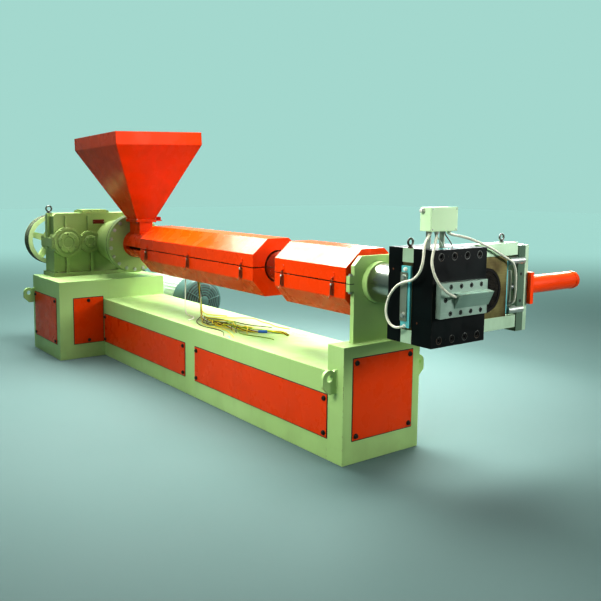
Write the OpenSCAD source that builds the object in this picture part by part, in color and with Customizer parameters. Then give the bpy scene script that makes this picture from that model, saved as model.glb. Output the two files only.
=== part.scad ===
// Single-screw plastic extruder: welded bed, split gearbox with a belt drive, hopper with a
// slide gate, heated barrel under hinged octagonal covers, slide-plate screen changer and die.
// Millimetres. X runs along the barrel from the gearbox to the die, Y away from the
// operator's side, Z up. The origin is on the floor, under the barrel's axis, at the joint
// between the pedestal and the bed.

/* [Base frame] */
// Height of the barrel's axis over the floor
axis_h = 1000; // [940:5:1060]
// Length of the bed
bed_len = 3130; // [3000:10:3300]
// Width of the bed and the end box
bed_w = 590; // [540:10:640]
// Height of the bed
bed_h = 510; // [460:5:540]
// Length of the pedestal under the gearbox
ped_len = 700; // [680:10:760]
// Width of the pedestal, flush with the bed's far side
ped_w = 1000; // [980:10:1100]
// Depth of the gearbox from the barrel's axis down to the pedestal
gear_low = 315; // [300:5:360]
// Length of the end box
endbox_len = 135; // [120:5:160]
// Height of the end box
endbox_h = 665; // [620:5:700]
// Thickness of the panel sheets
panel_t = 4; // [2:0.5:8]
// Thickness of a lifting lug
lug_t = 20; // [12:1:30]
// Hole through a lifting lug
lug_hole = 40; // [25:1:50]

/* [Gearbox] */
// Distance from the pedestal's front edge back to the gearbox's split flange
gear_setback = 405; // [380:5:410]
// Depth of the split flange along the barrel's direction
gear_depth = 290; // [260:5:300]
// Reach of the split flange to the operator's side of the barrel's axis
gear_left = 620; // [600:5:660]
// Reach of the split flange to the far side of the barrel's axis
gear_right = 265; // [255:5:290]
// Thickness of the split flange in each housing half
gear_flange_t = 40; // [30:1:50]
// Height of the upper housing's top over the axis
gear_top = 265; // [250:5:290]
// Thickness of the foot plate
gear_foot_t = 35; // [25:1:45]
// Distance from the barrel's axis to the input shaft
input_offset = 470; // [450:5:490]
// Distance from the barrel's axis to the middle shaft
middle_offset = 255; // [240:5:270]
// Radius of the thrust housing's round flange
thrust_r = 262; // [250:1:270]
// Reach of that flange beyond the pedestal's front edge
thrust_over = 30; // [20:1:35]

/* [Drive] */
// Outer diameter of the gearbox pulley
pulley_d = 470; // [440:5:500]
// Outer diameter of the motor pulley
motor_pulley_d = 190; // [170:5:220]
// Width of both pulleys
pulley_w = 120; // [110:2:140]
// Number of belts
belt_n = 4; // [3:1:4]
// Distance from the barrel's axis to the motor's axis
motor_offset = 640; // [620:5:680]
// Radius of the motor's fan cover
motor_r = 220; // [200:5:230]
// Shaft height of the motor over its feet
motor_shaft_h = 225; // [225:5:240]
// Height of the motor's base
motor_base_h = 205; // [160:5:240]

/* [Feed] */
// Distance from the pedestal's front edge to the hopper's centre
hopper_x = 155; // [140:5:170]
// Length of the hopper's rim along the barrel
hopper_l = 902; // [800:2:960]
// Width of the hopper's rim across the barrel
hopper_w = 787; // [700:1:900]
// Height of the hopper's rim over the barrel's axis
hopper_top = 963; // [850:1:1050]
// Lean of the hopper, in degrees, with its top towards the pedestal's near corner
hopper_lean = 2.4; // [0:0.1:3]
// Height of the upright rim
hopper_rim = 105; // [60:5:140]
// Sheet thickness of the hopper
hopper_t = 4; // [2:0.5:6]
// Length of the throat along the barrel
throat_l = 200; // [180:5:220]
// Width of the throat across the barrel
throat_w = 124; // [110:2:140]
// Thickness of the slide gate
gate_t = 8; // [5:1:12]
// Diameter of the feed housing
feed_d = 240; // [225:5:260]

/* [Barrel and covers] */
// Outer diameter of the barrel
barrel_d = 206; // [195:1:215]
// Diameter of the barrel's front end
barrel_head_d = 222; // [218:1:232]
// Reach of the barrel beyond the end box
barrel_over = 228; // [200:2:260]
// Distance from the pedestal's front edge to the first cover
cover_start = 562; // [550:2:580]
// Length of the second cover, next to the die
cover_len = 673; // [600:1:750]
// Bare barrel between the two covers
cover_gap = 243; // [200:1:300]
// Width of the octagonal covers
cover_w = 408; // [396:2:430]
// Height of the octagonal covers over the seam
cover_up = 187; // [180:1:205]
// Depth of the octagonal covers under the seam
cover_down = 196; // [180:1:205]
// Sheet thickness of the covers
cover_t = 3; // [2:0.5:5]
// Seam between the lower half and the lid
cover_seam = 6; // [5:1:9]

/* [Screen changer and die] */
// Width of the changer's blocks
head_w = 400; // [380:5:440]
// Height of the changer's blocks
head_h = 484; // [460:2:500]
// Thickness of the back plate
back_t = 96; // [80:1:110]
// Thickness of the slide's frame
frame_t = 76; // [70:1:90]
// Thickness of the front block
front_t = 131; // [110:1:150]
// Height of the frame's two bars
bar_h = 71; // [60:1:80]
// Length of the slide plate
slide_len = 755; // [740:5:780]
// Distance between the two screens, which is the slide's stroke
screen_pitch = 380; // [360:5:390]
// Diameter of a screen
screen_d = 250; // [220:5:270]
// Width of the die plate
die_w = 350; // [320:5:380]
// Height of the die plate
die_h = 176; // [160:2:190]
// Thickness of the die plate
die_t = 32; // [24:1:45]
// Outer diameter of the slide's cylinder
cyl_d = 104; // [96:2:120]
// Length of the slide's cylinder
cyl_len = 480; // [470:1:520]

/* [Hidden] */
$fn = 64;

// Paint and metal colours
green = [0.72, 0.76, 0.56];
orange = [0.86, 0.27, 0.10];
black = [0.10, 0.11, 0.12];
steel = [0.66, 0.67, 0.67];
grey = [0.45, 0.52, 0.50];
white = [0.88, 0.88, 0.84];

// Clearances: a running fit on a pin, a guided slide, and a free moving piece
pin_gap = 0.05;
guide_gap = 0.3;
free_gap = 5;

// Base frame
half_w = bed_w / 2;
ped_y = [half_w - ped_w, half_w];
end_x = [bed_len, bed_len + endbox_len];
panel_z = [127, 375];
panel_joint = 150;
end_panel_rise = [133, 70];
lug_reach = 98;
lug_h = 136;
lug_drop = [128, 117];
lug_inset = 12;
lug_set = 60;
lug_wall = 26;
ped_h = axis_h - gear_low;
ped_panel_z = [132, ped_h - 150];
ped_panel_far = 14;
ped_panel_front = 127;
ped_panel_side = [55, 80];
ped_panel_back = 150;
end_panel_inset = [70, 60];

// Gearbox
gear_x = [-gear_setback - gear_depth, -gear_setback];
gear_wall = 30;
wall_x = [gear_x[0] + gear_wall, gear_x[1] - gear_wall];
wall_y = [gear_wall - gear_left, gear_right - gear_wall];
boss_proud = 6;
input_r = 140;
middle_r = 105;
output_r = 190;
cap_t = 14;
shaft_r = 32;
shaft_seat = 50;
rib_t = 44;
rib_out = 26;
rib_root = 40;
rib_edge = 6;
rib_far = 150;
rib_half = [14, 8];
rib_inset = 6;
rib_proud = 12;
hatch_t = 30;
hatch_y = [-middle_offset - 60, 82 - middle_offset / 2];
hatch_step = 18;
hatch_inset = 20;
cap_r = [96, middle_offset - output_r - free_gap];
foot_inset = 15;
housing_edge = 26;
thrust_x = thrust_over;
thrust_flange_t = 42;
thrust_groove = 4;
thrust_edge = 6;
thrust_neck = [15, 28, 42];

// Belt drive
pulley_gap = 108;
pulley_x = [gear_x[0] - pulley_gap - pulley_w, gear_x[0] - pulley_gap];
groove_pitch = 27;
groove_top = 20;
groove_bottom = 15.6;
groove_depth = 15;
belt_t = 11;
belt_proud = 1;
belt_w = groove_top - (groove_top - groove_bottom) * (belt_t - belt_proud) / groove_depth - 2 * guide_gap;
pulley_at = [-input_offset, axis_h];
motor_h = motor_base_h + motor_shaft_h;
motor_at = [motor_offset, motor_h];
motor_x = [-700, 120];
motor_body_x = [motor_x[0] + 60, motor_x[1] - 190];
motor_fin_n = 40;
motor_fin_h = 22;
motor_fin_w = 6;
motor_foot_t = 26;
motor_foot = [45, 60, 40];
motor_leg = 178;
motor_leg_t = 30;
motor_cover_edge = 14;
motor_dome = [30, 42, 44];
terminal_neck = [80, 70, 30];
terminal_box = [105, 90, 105];
beam_w = 110;
beam_flange = 14;
beam_web = 10;
beam_x = [-560, -180];
beam_far = motor_offset + 260;

// Feed
feed_x = [thrust_x, cover_start - 12];
stack_l = 216;
stack_w = 190;
flange_t = 8;
throat_top = axis_h + 205;
throat_wall = 10;
gate_z = throat_top + flange_t + guide_gap;
stack_top = gate_z + gate_t + guide_gap;
gate_guide = 12;
gate_tab = 62;
hopper_foot = [190, 170];
hopper_z = [stack_top, stack_top + flange_t];
hopper_rise = axis_h + hopper_top - hopper_rim - hopper_z[1];
lean_axis = [0.805, -0.593, 0];
slot_drop = 38;
slot_h = 28;
slot_d = 46;
slot_inset = [36, 138];
throat_seat = 40;
tab_inset = 20;
tab_h = 34;

// Barrel and covers
barrel_r = barrel_d / 2;
support_t = 30;
support_set = 44;
support_gap = 11;
support_x = [end_x[0] + support_set, end_x[0] + support_set + support_t];
cover_2 = [support_x[0] - support_gap - cover_len, support_x[0] - support_gap];
cover_1 = [cover_start, cover_2[0] - cover_gap];
barrel_step = support_x[0] - 10;
barrel_x = [feed_x[1], end_x[1] + barrel_over];
cover_a = cover_w / 2;
cover_flat_up = 85;
cover_flat_down = 105;
cover_side = 87;
cover_bend = 0.42;
cover_hole_r = barrel_r + 6;
knuckle_r = 9;
hinge_pin_r = 5;
leaf_t = 4;
leaf_h = 38;
knuckle_l = 40;
hinge_y = cover_a + knuckle_r + 2;
hinges_1 = [for (f = [0.08, 0.5, 0.92]) cover_1[0] + f * (cover_1[1] - cover_1[0])];
hinges_2 = [for (f = [0.16, 0.84]) cover_2[0] + f * (cover_2[1] - cover_2[0])];
latches_1 = [for (f = [0.072, 0.487, 0.919]) cover_1[0] + f * (cover_1[1] - cover_1[0])];
latches_2 = [for (f = [0.128, 0.838]) cover_2[0] + f * (cover_2[1] - cover_2[0])];
latch_w = 26;
latch_t = 3;
latch_z = [-80, -10];
lever = [9, 11, -72, -22];
bail = [7, 2, 3, 8, -24, 11];
keeper_z = [14, 52];
keeper_hook = [3, 8, 18, 25];
band_t = 18;
band_w = 190;
band_step = 270;
band_box = [30, 20, 22];
band_inset = [60, 40];
saddle_t = 8;
saddle_set = 30;
saddle_half = 60;
support_half = 176;
support_top = 152;
support_chamfer = 53;
ear_reach = 33;
ear_h = 44;
collar_r = barrel_head_d / 2 + 7;
collar_t = 38;

// Screen changer
back_x = [barrel_x[1], barrel_x[1] + back_t];
frame_x = [back_x[1], back_x[1] + frame_t];
front_x = [frame_x[1], frame_x[1] + front_t];
head_z = [axis_h + 231 - head_h, axis_h + 231];
bar_low = [head_z[0], head_z[0] + bar_h];
bar_high = [head_z[1] - bar_h, head_z[1]];
bar_end = 640;
bar_neck = [8, 12];
slide_y = [-head_w / 2, slide_len - head_w / 2];
slide_x = [frame_x[0] + free_gap, frame_x[1] - free_gap];
slide_z = [bar_low[1] + guide_gap, bar_high[0] - guide_gap];
slide_mid = (slide_x[0] + slide_x[1]) / 2;
rod_z = axis_h - 26;
strip_z = axis_h - 14;
rod_r = 25;
rod_gap = 0.1;
end_plate_y = [bar_end + bar_neck[0], bar_end + bar_neck[0] + 60];
end_plate_z = [head_z[0] - 25, head_z[1] - 17];
end_hole_r = 5;
end_hole_depth = 12;
end_hole_rise = [-79, 75];
cyl_plate_y = [end_plate_y[1], end_plate_y[1] + 32];
tie_r = 23;
tie_len = 133;
tie_rise = [-128, 153];
tie_x = frame_x[1] - 15;
cyl_flange_t = 30;
cyl_flange_half = 60;
cyl_flange_z = [rod_z - 101, rod_z + 81];
cyl_y = [cyl_plate_y[1] + cyl_flange_t, cyl_plate_y[1] + cyl_flange_t + cyl_len];
cyl_bore_r = 42;
cyl_cap = 20;
piston_t = 30;
strip_h = 313;
strip_w = 62;
strip_t = 12;
clamp_w = 46;
clamp_t = 6;
clamp_h = 248;
block_h = 198;
block_t = 36;
socket_r = 17;
socket_depth = 14;
socket_rise = 207;
socket_pitch = 96;
die_z = axis_h - 16;
die_bolt_r = 7;
die_bolt_rise = 66;
die_bolt_pitch = 76;
die_bolt_shift = 11;
die_bolt_depth = 16;
die_side_bolt = [34, 3];
wedge_over = 12;
wedge_start = -75;
wedge_z = [-44, 28, 34];
wedge_out = 34;
wedge_root = 2;
eye_y = [-185, 538];
eye_small = [17.5, 5.5];
eye_large = [25, 7];
box_x = [front_x[0] + 18, front_x[0] + 85];
box_y = [-180, 10];
box_z = [head_z[1] + 89, head_z[1] + 206];
bracket_t = 6;
bracket_w = 30;
bracket_foot = 40;
leg_x = front_x[0] + 36;
leg_y = [-140, -40];

// Leads: routes by their points, straight out of the box or the barrel and down
lead_r = 7;
tape_r = 9;
route_left = [[3720, -150, 1320], [3720, -150, 1302], [3736, -190, 1276], [3760, -228, 1240],
    [3766, -238, 1200], [3760, -240, 1160], [3740, -240, 1116], [3700, -240, 1082], [3650, -240, 1066],
    [3600, -240, 1044], [3555, -240, 1000], [3528, -240, 945], [3524, -240, 885], [3550, -240, 842],
    [3590, -240, 828], [3618, -232, 832], [3627, -212, 836]];
route_die = [[3738, -120, 1320], [3738, -120, 1300], [3770, -160, 1278], [3808, -214, 1236],
    [3820, -238, 1180], [3834, -236, 1126], [3850, -212, 1072], [3860, -172, 1034], [3860, -130, 1014],
    [3852, -98, 1004], [3828, -84, 1000]];
route_right = [[3720, -10, 1320], [3720, -10, 1306], [3712, 40, 1294], [3700, 110, 1284],
    [3692, 190, 1268], [3688, 280, 1242], [3686, 390, 1204], [3684, 500, 1156], [3684, 570, 1122],
    [3684, 600, 1074], [3684, 606, 1010], [3684, 604, 945], [3683, 597, 908], [3674, 590, 891],
    [3658, 585, 886]];
lay_z = bed_h + tape_r + guide_gap;
route_bundle = [[1180, 0, axis_h - cover_down], [1180, 0, 776], [1184, 4, 710], [1192, 8, 640],
    [1215, 2, 564], [1262, -20, lay_z + 8], [1330, -60, lay_z], [1420, -84, lay_z], [1540, -84, lay_z],
    [1660, -78, lay_z], [1780, -74, lay_z], [1900, -64, lay_z], [2010, -24, lay_z], [2080, 50, lay_z],
    [2150, 110, lay_z], [2240, 96, lay_z]];

// A block between two corners given as ranges
module block(x, y, z) {
    translate([x[0], y[0], z[0]]) cube([x[1] - x[0], y[1] - y[0], z[1] - z[0]]);
}

// A profile drawn in Y and Z, carried along X
module prism_x(x) {
    translate([x[0], 0, 0]) rotate([90, 0, 90]) linear_extrude(x[1] - x[0]) children();
}

// A profile drawn in X and Z, carried along Y
module prism_y(y) {
    translate([0, y[1], 0]) rotate([90, 0, 0]) linear_extrude(y[1] - y[0]) children();
}

// A round bar along X at [y, z]
module bar_x(x, r, at) {
    translate([x[0], at[0], at[1]]) rotate([0, 90, 0]) cylinder(h = x[1] - x[0], r = r);
}

// A round bar along Y at [x, z]
module bar_y(y, r, at) {
    translate([at[0], y[0], at[1]]) rotate([-90, 0, 0]) cylinder(h = y[1] - y[0], r = r);
}

// A body turned about an axis along X at [y, z], from points [radius, x]
module turned_x(points, at) {
    translate([0, at[0], at[1]]) rotate([0, 90, 0]) rotate_extrude() polygon(points);
}

// The octagon of the covers, drawn in Y and Z, smaller by an inset
module octagon(inset) {
    slope = cover_bend * inset;
    side = cover_side - slope;
    up = [cover_flat_up - slope, cover_up - inset];
    down = [cover_flat_down - slope, cover_down - inset];
    half = cover_a - inset;
    translate([0, axis_h]) polygon([[-half, -side], [-half, side], [-up[0], up[1]], up, [half, side],
        [half, -side], [down[0], -down[1]], [-down[0], -down[1]]]);
}

// Base frame
module bed() {
    color(green) block([0, bed_len], [-half_w, half_w], [0, bed_h]);
}

module pedestal() {
    color(green) block([-ped_len, 0], ped_y, [0, ped_h]);
}

module end_box() {
    color(green) block(end_x, [-half_w, half_w], [0, endbox_h]);
}

module bed_panels() {
    long = (bed_len - panel_joint) / 2;
    color(orange) for (side = [-1, 1], i = [0, 1])
        block([i * (long + panel_joint), i * (long + panel_joint) + long],
            side < 0 ? [-half_w - panel_t, -half_w] : [half_w, half_w + panel_t], panel_z);
}

module pedestal_panels() {
    color(orange) {
        block([0, panel_t], [ped_y[0] + ped_panel_front, -half_w - ped_panel_far], ped_panel_z);
        block([ped_panel_side[0] - ped_len, -ped_panel_side[1]], [ped_y[0] - panel_t, ped_y[0]],
            ped_panel_z);
        block([-ped_len - panel_t, -ped_len], [ped_y[0] + ped_panel_back, ped_y[1] - ped_panel_back],
            ped_panel_z);
    }
}

module end_panel() {
    color(orange) block([end_x[1], end_x[1] + panel_t],
        [end_panel_inset[0] - half_w, half_w - end_panel_inset[1]],
        [end_panel_rise[0], endbox_h - end_panel_rise[1]]);
}

// One lug: a plate with a round shoulder, standing out along Y from y0 to one side
module lug(x, y0, side, z) {
    r = lug_hole / 2 + lug_wall;
    reach = lug_reach - r;
    prism_x([x, x + lug_t]) difference() {
        union() {
            polygon([[y0, z], [y0 + side * reach, z], [y0 + side * lug_reach, z + r],
                [y0 + side * lug_reach, z + lug_h - r], [y0, z + lug_h]]);
            translate([y0 + side * reach, z + lug_h - r]) circle(r);
        }
        translate([y0 + side * reach, z + lug_h - r]) circle(d = lug_hole);
    }
}

module lifting_lugs() {
    lug_x = [end_x[0] + lug_set, lug_inset - ped_len];
    color(green) for (side = [-1, 1]) {
        lug(lug_x[0], side * half_w, side, endbox_h - lug_drop[0] - lug_h);
        lug(lug_x[1], side < 0 ? ped_y[0] : ped_y[1], side, ped_h - lug_drop[1] - lug_h);
    }
}

// Gearbox
module bearing_bosses() {
    for (b = [[-input_offset, input_r], [-middle_offset, middle_r], [0, output_r]])
        bar_x([gear_x[0] - boss_proud, gear_x[1] + boss_proud], b[1], [b[0], axis_h]);
}

module shaft_bore() {
    bar_x([gear_x[0] - boss_proud - 1, gear_x[0] + shaft_seat], shaft_r + pin_gap, pulley_at);
}

module half_space(top) {
    span = [-1500, 1500];
    block(span, span, top ? [axis_h, 2 * axis_h] : [0, axis_h]);
}

module gearbox_lower() {
    foot_z = [ped_h, ped_h + gear_foot_t];
    ribs = [-input_offset, -middle_offset + 20, rib_far];
    color(green) difference() {
        union() {
            block(gear_x, [foot_inset - gear_left, gear_right - foot_inset], foot_z);
            block(wall_x, wall_y, [foot_z[1], axis_h]);
            block(gear_x, [-gear_left, gear_right], [axis_h - gear_flange_t, axis_h]);
            intersection() {
                bearing_bosses();
                half_space(false);
            }
            for (y = ribs)
                block([gear_x[0] + rib_inset, gear_x[1] - rib_inset], [y - rib_half[0], y + rib_half[0]],
                    [foot_z[1], axis_h - gear_flange_t]);
        }
        shaft_bore();
    }
}

module gearbox_upper() {
    top_z = axis_h + gear_top;
    edge = housing_edge;
    ribs = [-input_offset - 10, -middle_offset - 10, rib_far];
    lug_x = (wall_x[0] + wall_x[1]) / 2;
    color(green) difference() {
        union() {
            block(gear_x, [-gear_left, gear_right], [axis_h, axis_h + gear_flange_t]);
            prism_x(wall_x) polygon([[wall_y[0], axis_h], [wall_y[0], top_z - edge],
                [wall_y[0] + edge, top_z], [wall_y[1] - edge, top_z], [wall_y[1], top_z - edge],
                [wall_y[1], axis_h]]);
            intersection() {
                bearing_bosses();
                half_space(true);
            }
            for (y = ribs)
                block([wall_x[0] - rib_proud, wall_x[1] + rib_proud], [y - rib_half[1], y + rib_half[1]],
                    [axis_h + gear_flange_t, top_z - edge]);
            for (end = [0, 1]) lifting_rib(lug_x, end);
        }
        shaft_bore();
    }
}

// A cast rib on an end wall, with a flat top that carries an eyebolt
module lifting_rib(x, end) {
    side = end == 0 ? -1 : 1;
    y = wall_y[end];
    low_z = axis_h + gear_flange_t;
    top_z = axis_h + gear_top;
    prism_x([x - rib_t / 2, x + rib_t / 2])
        polygon([[y - side * rib_root, low_z], [y + side * rib_out, low_z],
            [y + side * rib_out, top_z - rib_edge], [y + side * (rib_out - rib_edge), top_z],
            [y - side * rib_root, top_z]]);
}

module bearing_caps() {
    face = gear_x[1] + boss_proud;
    edge = cap_t - 4;
    dish = cap_t - 6;
    at = [-input_offset, -middle_offset];
    color(green) for (i = [0, 1])
        turned_x([[0, face], [cap_r[i], face], [cap_r[i], face + edge], [cap_r[i] - 6, face + cap_t],
            [cap_r[i] * 0.55, face + cap_t], [cap_r[i] * 0.5, face + dish], [0, face + dish]],
            [at[i], axis_h]);
}

module inspection_cover() {
    top_z = axis_h + gear_top;
    step = hatch_step;
    x = [wall_x[0] + hatch_inset, wall_x[1] - hatch_inset];
    color(green) {
        block(x, hatch_y, [top_z, top_z + hatch_t / 2]);
        block([x[0] + step, x[1] - step], [hatch_y[0] + step, hatch_y[1] - step],
            [top_z + hatch_t / 2, top_z + hatch_t]);
    }
}

module thrust_housing() {
    back = gear_x[1] + boss_proud;
    f = thrust_flange_t;
    rim = thrust_x - 2 * f - thrust_groove;
    low = thrust_r - 10;
    color(green) turned_x([[0, back], [output_r, back], [output_r, back + 40],
        [output_r + thrust_neck[0], back + 70], [output_r + thrust_neck[1], rim - 60],
        [output_r + thrust_neck[2], rim - 8], [thrust_r, rim], [thrust_r, rim + f], [low, rim + f],
        [low, thrust_x - f], [thrust_r, thrust_x - f], [thrust_r, thrust_x - thrust_edge],
        [thrust_r - thrust_edge, thrust_x], [0, thrust_x]], [0, axis_h]);
}

// Belt drive
function groove_x(i) = (pulley_x[0] + pulley_x[1]) / 2 + (i - (belt_n - 1) / 2) * groove_pitch;

function rim_points(r) = [for (i = [0 : belt_n - 1]) each [
    [r, groove_x(i) - groove_top / 2], [r - groove_depth, groove_x(i) - groove_bottom / 2],
    [r - groove_depth, groove_x(i) + groove_bottom / 2], [r, groove_x(i) + groove_top / 2]]];

module pulley_rim(r, inner, at) {
    turned_x(concat([[inner, pulley_x[0]], [r, pulley_x[0]]], rim_points(r),
        [[r, pulley_x[1]], [inner, pulley_x[1]]]), at);
}

module drive_pulley() {
    r = pulley_d / 2;
    inner = r - 40;
    hub_r = 62;
    arm_n = 5;
    mid = (pulley_x[0] + pulley_x[1]) / 2;
    color(green) {
        pulley_rim(r, inner, pulley_at);
        bar_x([pulley_x[0] + 6, pulley_x[1] + 20], hub_r, pulley_at);
        translate([0, pulley_at[0], pulley_at[1]]) for (i = [0 : arm_n - 1])
            rotate([i * 360 / arm_n + 20, 0, 0]) prism_x([mid - 20, mid + 20])
                polygon([[hub_r - 8, -34], [inner + 6, -24], [inner + 6, 24], [hub_r - 8, 34]]);
        bar_x([pulley_x[0] - 8, gear_x[0] + shaft_seat - 2], shaft_r, pulley_at);
    }
}

module motor_pulley() {
    hub_r = 50;
    color(grey) {
        pulley_rim(motor_pulley_d / 2, hub_r - 1, motor_at);
        bar_x([pulley_x[0] + 6, pulley_x[1] + 14], hub_r, motor_at);
        bar_x([pulley_x[0] - 6, motor_x[0] + shaft_seat - 2], shaft_r, motor_at);
    }
}

// The outline of a belt round two circles, as points along both arcs between the tangent points
module belt_outline(r1, r2) {
    steps = 48;
    d = motor_at - pulley_at;
    way = atan2(d[1], d[0]);
    lift = acos((r1 - r2) / norm(d));
    polygon(concat(
        [for (k = [0 : steps]) let (a = way + lift + k * (360 - 2 * lift) / steps)
            pulley_at + r1 * [cos(a), sin(a)]],
        [for (k = [0 : steps]) let (a = way - lift + k * 2 * lift / steps)
            motor_at + r2 * [cos(a), sin(a)]]));
}

module drive_belts() {
    r1 = pulley_d / 2 + belt_proud;
    r2 = motor_pulley_d / 2 + belt_proud;
    color(black) for (i = [0 : belt_n - 1])
        prism_x([groove_x(i) - belt_w / 2, groove_x(i) + belt_w / 2]) difference() {
            belt_outline(r1, r2);
            belt_outline(r1 - belt_t, r2 - belt_t);
        }
}

module motor_frame() {
    root_r = motor_r - motor_fin_h - 4;
    foot_z = [motor_base_h, motor_base_h + motor_foot_t];
    shoulder = [motor_x[0] + 20, motor_x[0] + 40];
    color(grey) difference() {
        union() {
            prism_x(motor_body_x) translate(motor_at) {
                circle(root_r);
                for (i = [0 : motor_fin_n - 1]) rotate(i * 360 / motor_fin_n)
                    translate([root_r - 4, -motor_fin_w / 2]) square([motor_fin_h + 4, motor_fin_w]);
            }
            turned_x([[0, motor_x[0]], [motor_r - 130, motor_x[0]], [motor_r - 70, shoulder[0]],
                [motor_r - 12, shoulder[1]], [motor_r - 2, motor_body_x[0]], [0, motor_body_x[0]]],
                motor_at);
            for (x = beam_x, side = [-1, 1]) {
                foot_y = [side * (motor_leg - motor_foot[1]), side * (motor_leg + motor_foot[2])];
                block([x - motor_foot[0], x + motor_foot[0]],
                    [motor_offset + min(foot_y), motor_offset + max(foot_y)], foot_z);
                prism_x([x - motor_leg_t, x + motor_leg_t]) translate([motor_offset, 0])
                    polygon([[side * (motor_leg - 50), foot_z[1]], [side * (motor_leg + 20), foot_z[1]],
                        [side * (motor_leg - 8), motor_h - 60], [side * motor_leg / 2, motor_h - 60]]);
            }
        }
        bar_x([motor_x[0] - 1, motor_x[0] + shaft_seat], shaft_r + pin_gap, motor_at);
    }
}

module motor_fan_cover() {
    x0 = motor_body_x[1];
    edge = motor_cover_edge;
    color(grey) turned_x([[0, x0], [motor_r - edge, x0], [motor_r, x0 + edge], [motor_r, motor_x[1] - edge],
        [motor_r - edge, motor_x[1] + edge / 2], [motor_r - 70, motor_x[1] + motor_dome[0]],
        [motor_r - 150, motor_x[1] + motor_dome[1]], [0, motor_x[1] + motor_dome[2]]], motor_at);
}

module motor_terminal_box() {
    x = (motor_body_x[0] + motor_body_x[1]) / 2;
    z = motor_h + motor_r - 4;
    neck = terminal_neck;
    size = terminal_box;
    color(grey) {
        block([x - neck[0], x + neck[0]], [motor_offset - neck[1], motor_offset + neck[1]],
            [z, z + neck[2]]);
        block([x - size[0], x + size[0]], [motor_offset - size[1], motor_offset + size[1]],
            [z + neck[2], z + size[2]]);
    }
}

module motor_base() {
    beam_y = [half_w, beam_far];
    color(green) {
        for (x = beam_x) {
            block([x - beam_w / 2, x + beam_w / 2], beam_y, [0, beam_flange]);
            block([x - beam_w / 2, x + beam_w / 2], beam_y, [motor_base_h - beam_flange, motor_base_h]);
            block([x - beam_web / 2, x + beam_web / 2], beam_y, [beam_flange, motor_base_h - beam_flange]);
        }
        block([beam_x[0] + beam_web / 2, beam_x[1] - beam_web / 2], [beam_far - beam_flange, beam_far],
            [beam_flange, motor_base_h - beam_flange]);
    }
}

// Feed section and hopper
module feed_housing() {
    slot_z = [axis_h - slot_drop, axis_h - slot_drop + slot_h];
    color(orange) difference() {
        bar_x(feed_x, feed_d / 2, [0, axis_h]);
        block([feed_x[0] + slot_inset[0], feed_x[1] - slot_inset[1]], [-feed_d, slot_d - feed_d / 2],
            slot_z);
        throat_hole([axis_h + throat_seat, 2 * axis_h]);
    }
}

module throat_hole(z) {
    block([hopper_x - throat_l / 2 + throat_wall, hopper_x + throat_l / 2 - throat_wall],
        [throat_wall - throat_w / 2, throat_w / 2 - throat_wall], z);
}

module feed_throat() {
    stack_x = [hopper_x - stack_l / 2, hopper_x + stack_l / 2];
    stack_y = [-stack_w / 2, stack_w / 2];
    color(orange) difference() {
        union() {
            difference() {
                block([hopper_x - throat_l / 2, hopper_x + throat_l / 2], [-throat_w / 2, throat_w / 2],
                    [axis_h, throat_top]);
                bar_x([feed_x[0] - 1, feed_x[1]], feed_d / 2, [0, axis_h]);
            }
            block(stack_x, stack_y, [throat_top, throat_top + flange_t]);
            for (end = [0, 1])
                block(end == 0 ? [stack_x[0], stack_x[0] + gate_guide]
                    : [stack_x[1] - gate_guide, stack_x[1]], stack_y, [throat_top + flange_t, stack_top]);
        }
        throat_hole([axis_h, stack_top]);
    }
}

module hopper_gate() {
    inset = stack_l / 2 - gate_guide - guide_gap;
    tab_y = stack_w / 2 + gate_tab;
    color(orange) {
        block([hopper_x - inset, hopper_x + inset], [-stack_w / 2, tab_y], [gate_z, gate_z + gate_t]);
        block([hopper_x - inset + tab_inset, hopper_x + inset - tab_inset], [tab_y - gate_t, tab_y],
            [gate_z, gate_z + tab_h]);
    }
}

// The leaning frame of the hopper's rim, which turns about the middle of its foot
module leaning() {
    translate([hopper_x, 0, hopper_z[1]]) rotate(a = hopper_lean, v = lean_axis) children();
}

// The sloping part of the hopper, from the level foot to the leaning rim, smaller by an inset
module hopper_cone(inset) {
    skin = 0.01;
    hull() {
        translate([hopper_x, 0, hopper_z[1]])
            cube([hopper_foot[0] - 2 * inset, hopper_foot[1] - 2 * inset, skin], center = true);
        leaning() translate([0, 0, hopper_rise])
            cube([hopper_l - 2 * inset, hopper_w - 2 * inset, skin], center = true);
    }
}

// The upright rim, smaller by an inset, from over the fold by a drop
module hopper_band(inset, drop, rise) {
    half = [hopper_l / 2 - inset, hopper_w / 2 - inset];
    leaning() block([-half[0], half[0]], [-half[1], half[1]], [hopper_rise - drop, hopper_rise + rise]);
}

module hopper() {
    color(orange) difference() {
        union() {
            hopper_cone(0);
            block([hopper_x - stack_l / 2, hopper_x + stack_l / 2], [-stack_w / 2, stack_w / 2], hopper_z);
            hopper_band(0, 0, hopper_rim);
        }
        hopper_cone(hopper_t);
        throat_hole([hopper_z[0] - 1, hopper_z[1] + 1]);
        hopper_band(hopper_t, 1, hopper_rim + 1);
    }
}

// Barrel, heaters and covers
module barrel() {
    head_r = barrel_head_d / 2;
    color(steel) turned_x([[0, barrel_x[0]], [barrel_r, barrel_x[0]], [barrel_r, barrel_step],
        [head_r, barrel_step], [head_r, barrel_x[1]], [0, barrel_x[1]]], [0, axis_h]);
}

function band_starts(x) = [for (s = [x[0] + band_inset[0] : band_step : x[1] - band_w - band_inset[1]]) s];

module heater_bands() {
    outer = barrel_r + band_t;
    color(steel) for (s = concat(band_starts(cover_1), band_starts(cover_2))) {
        turned_x([[barrel_r, s], [outer, s], [outer, s + band_w], [barrel_r, s + band_w]], [0, axis_h]);
        block([s + band_w / 2 - band_box[0], s + band_w / 2 + band_box[0]], [-band_box[1], band_box[1]],
            [axis_h + barrel_r + band_t / 2, axis_h + outer + band_box[2]]);
    }
}

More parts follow.
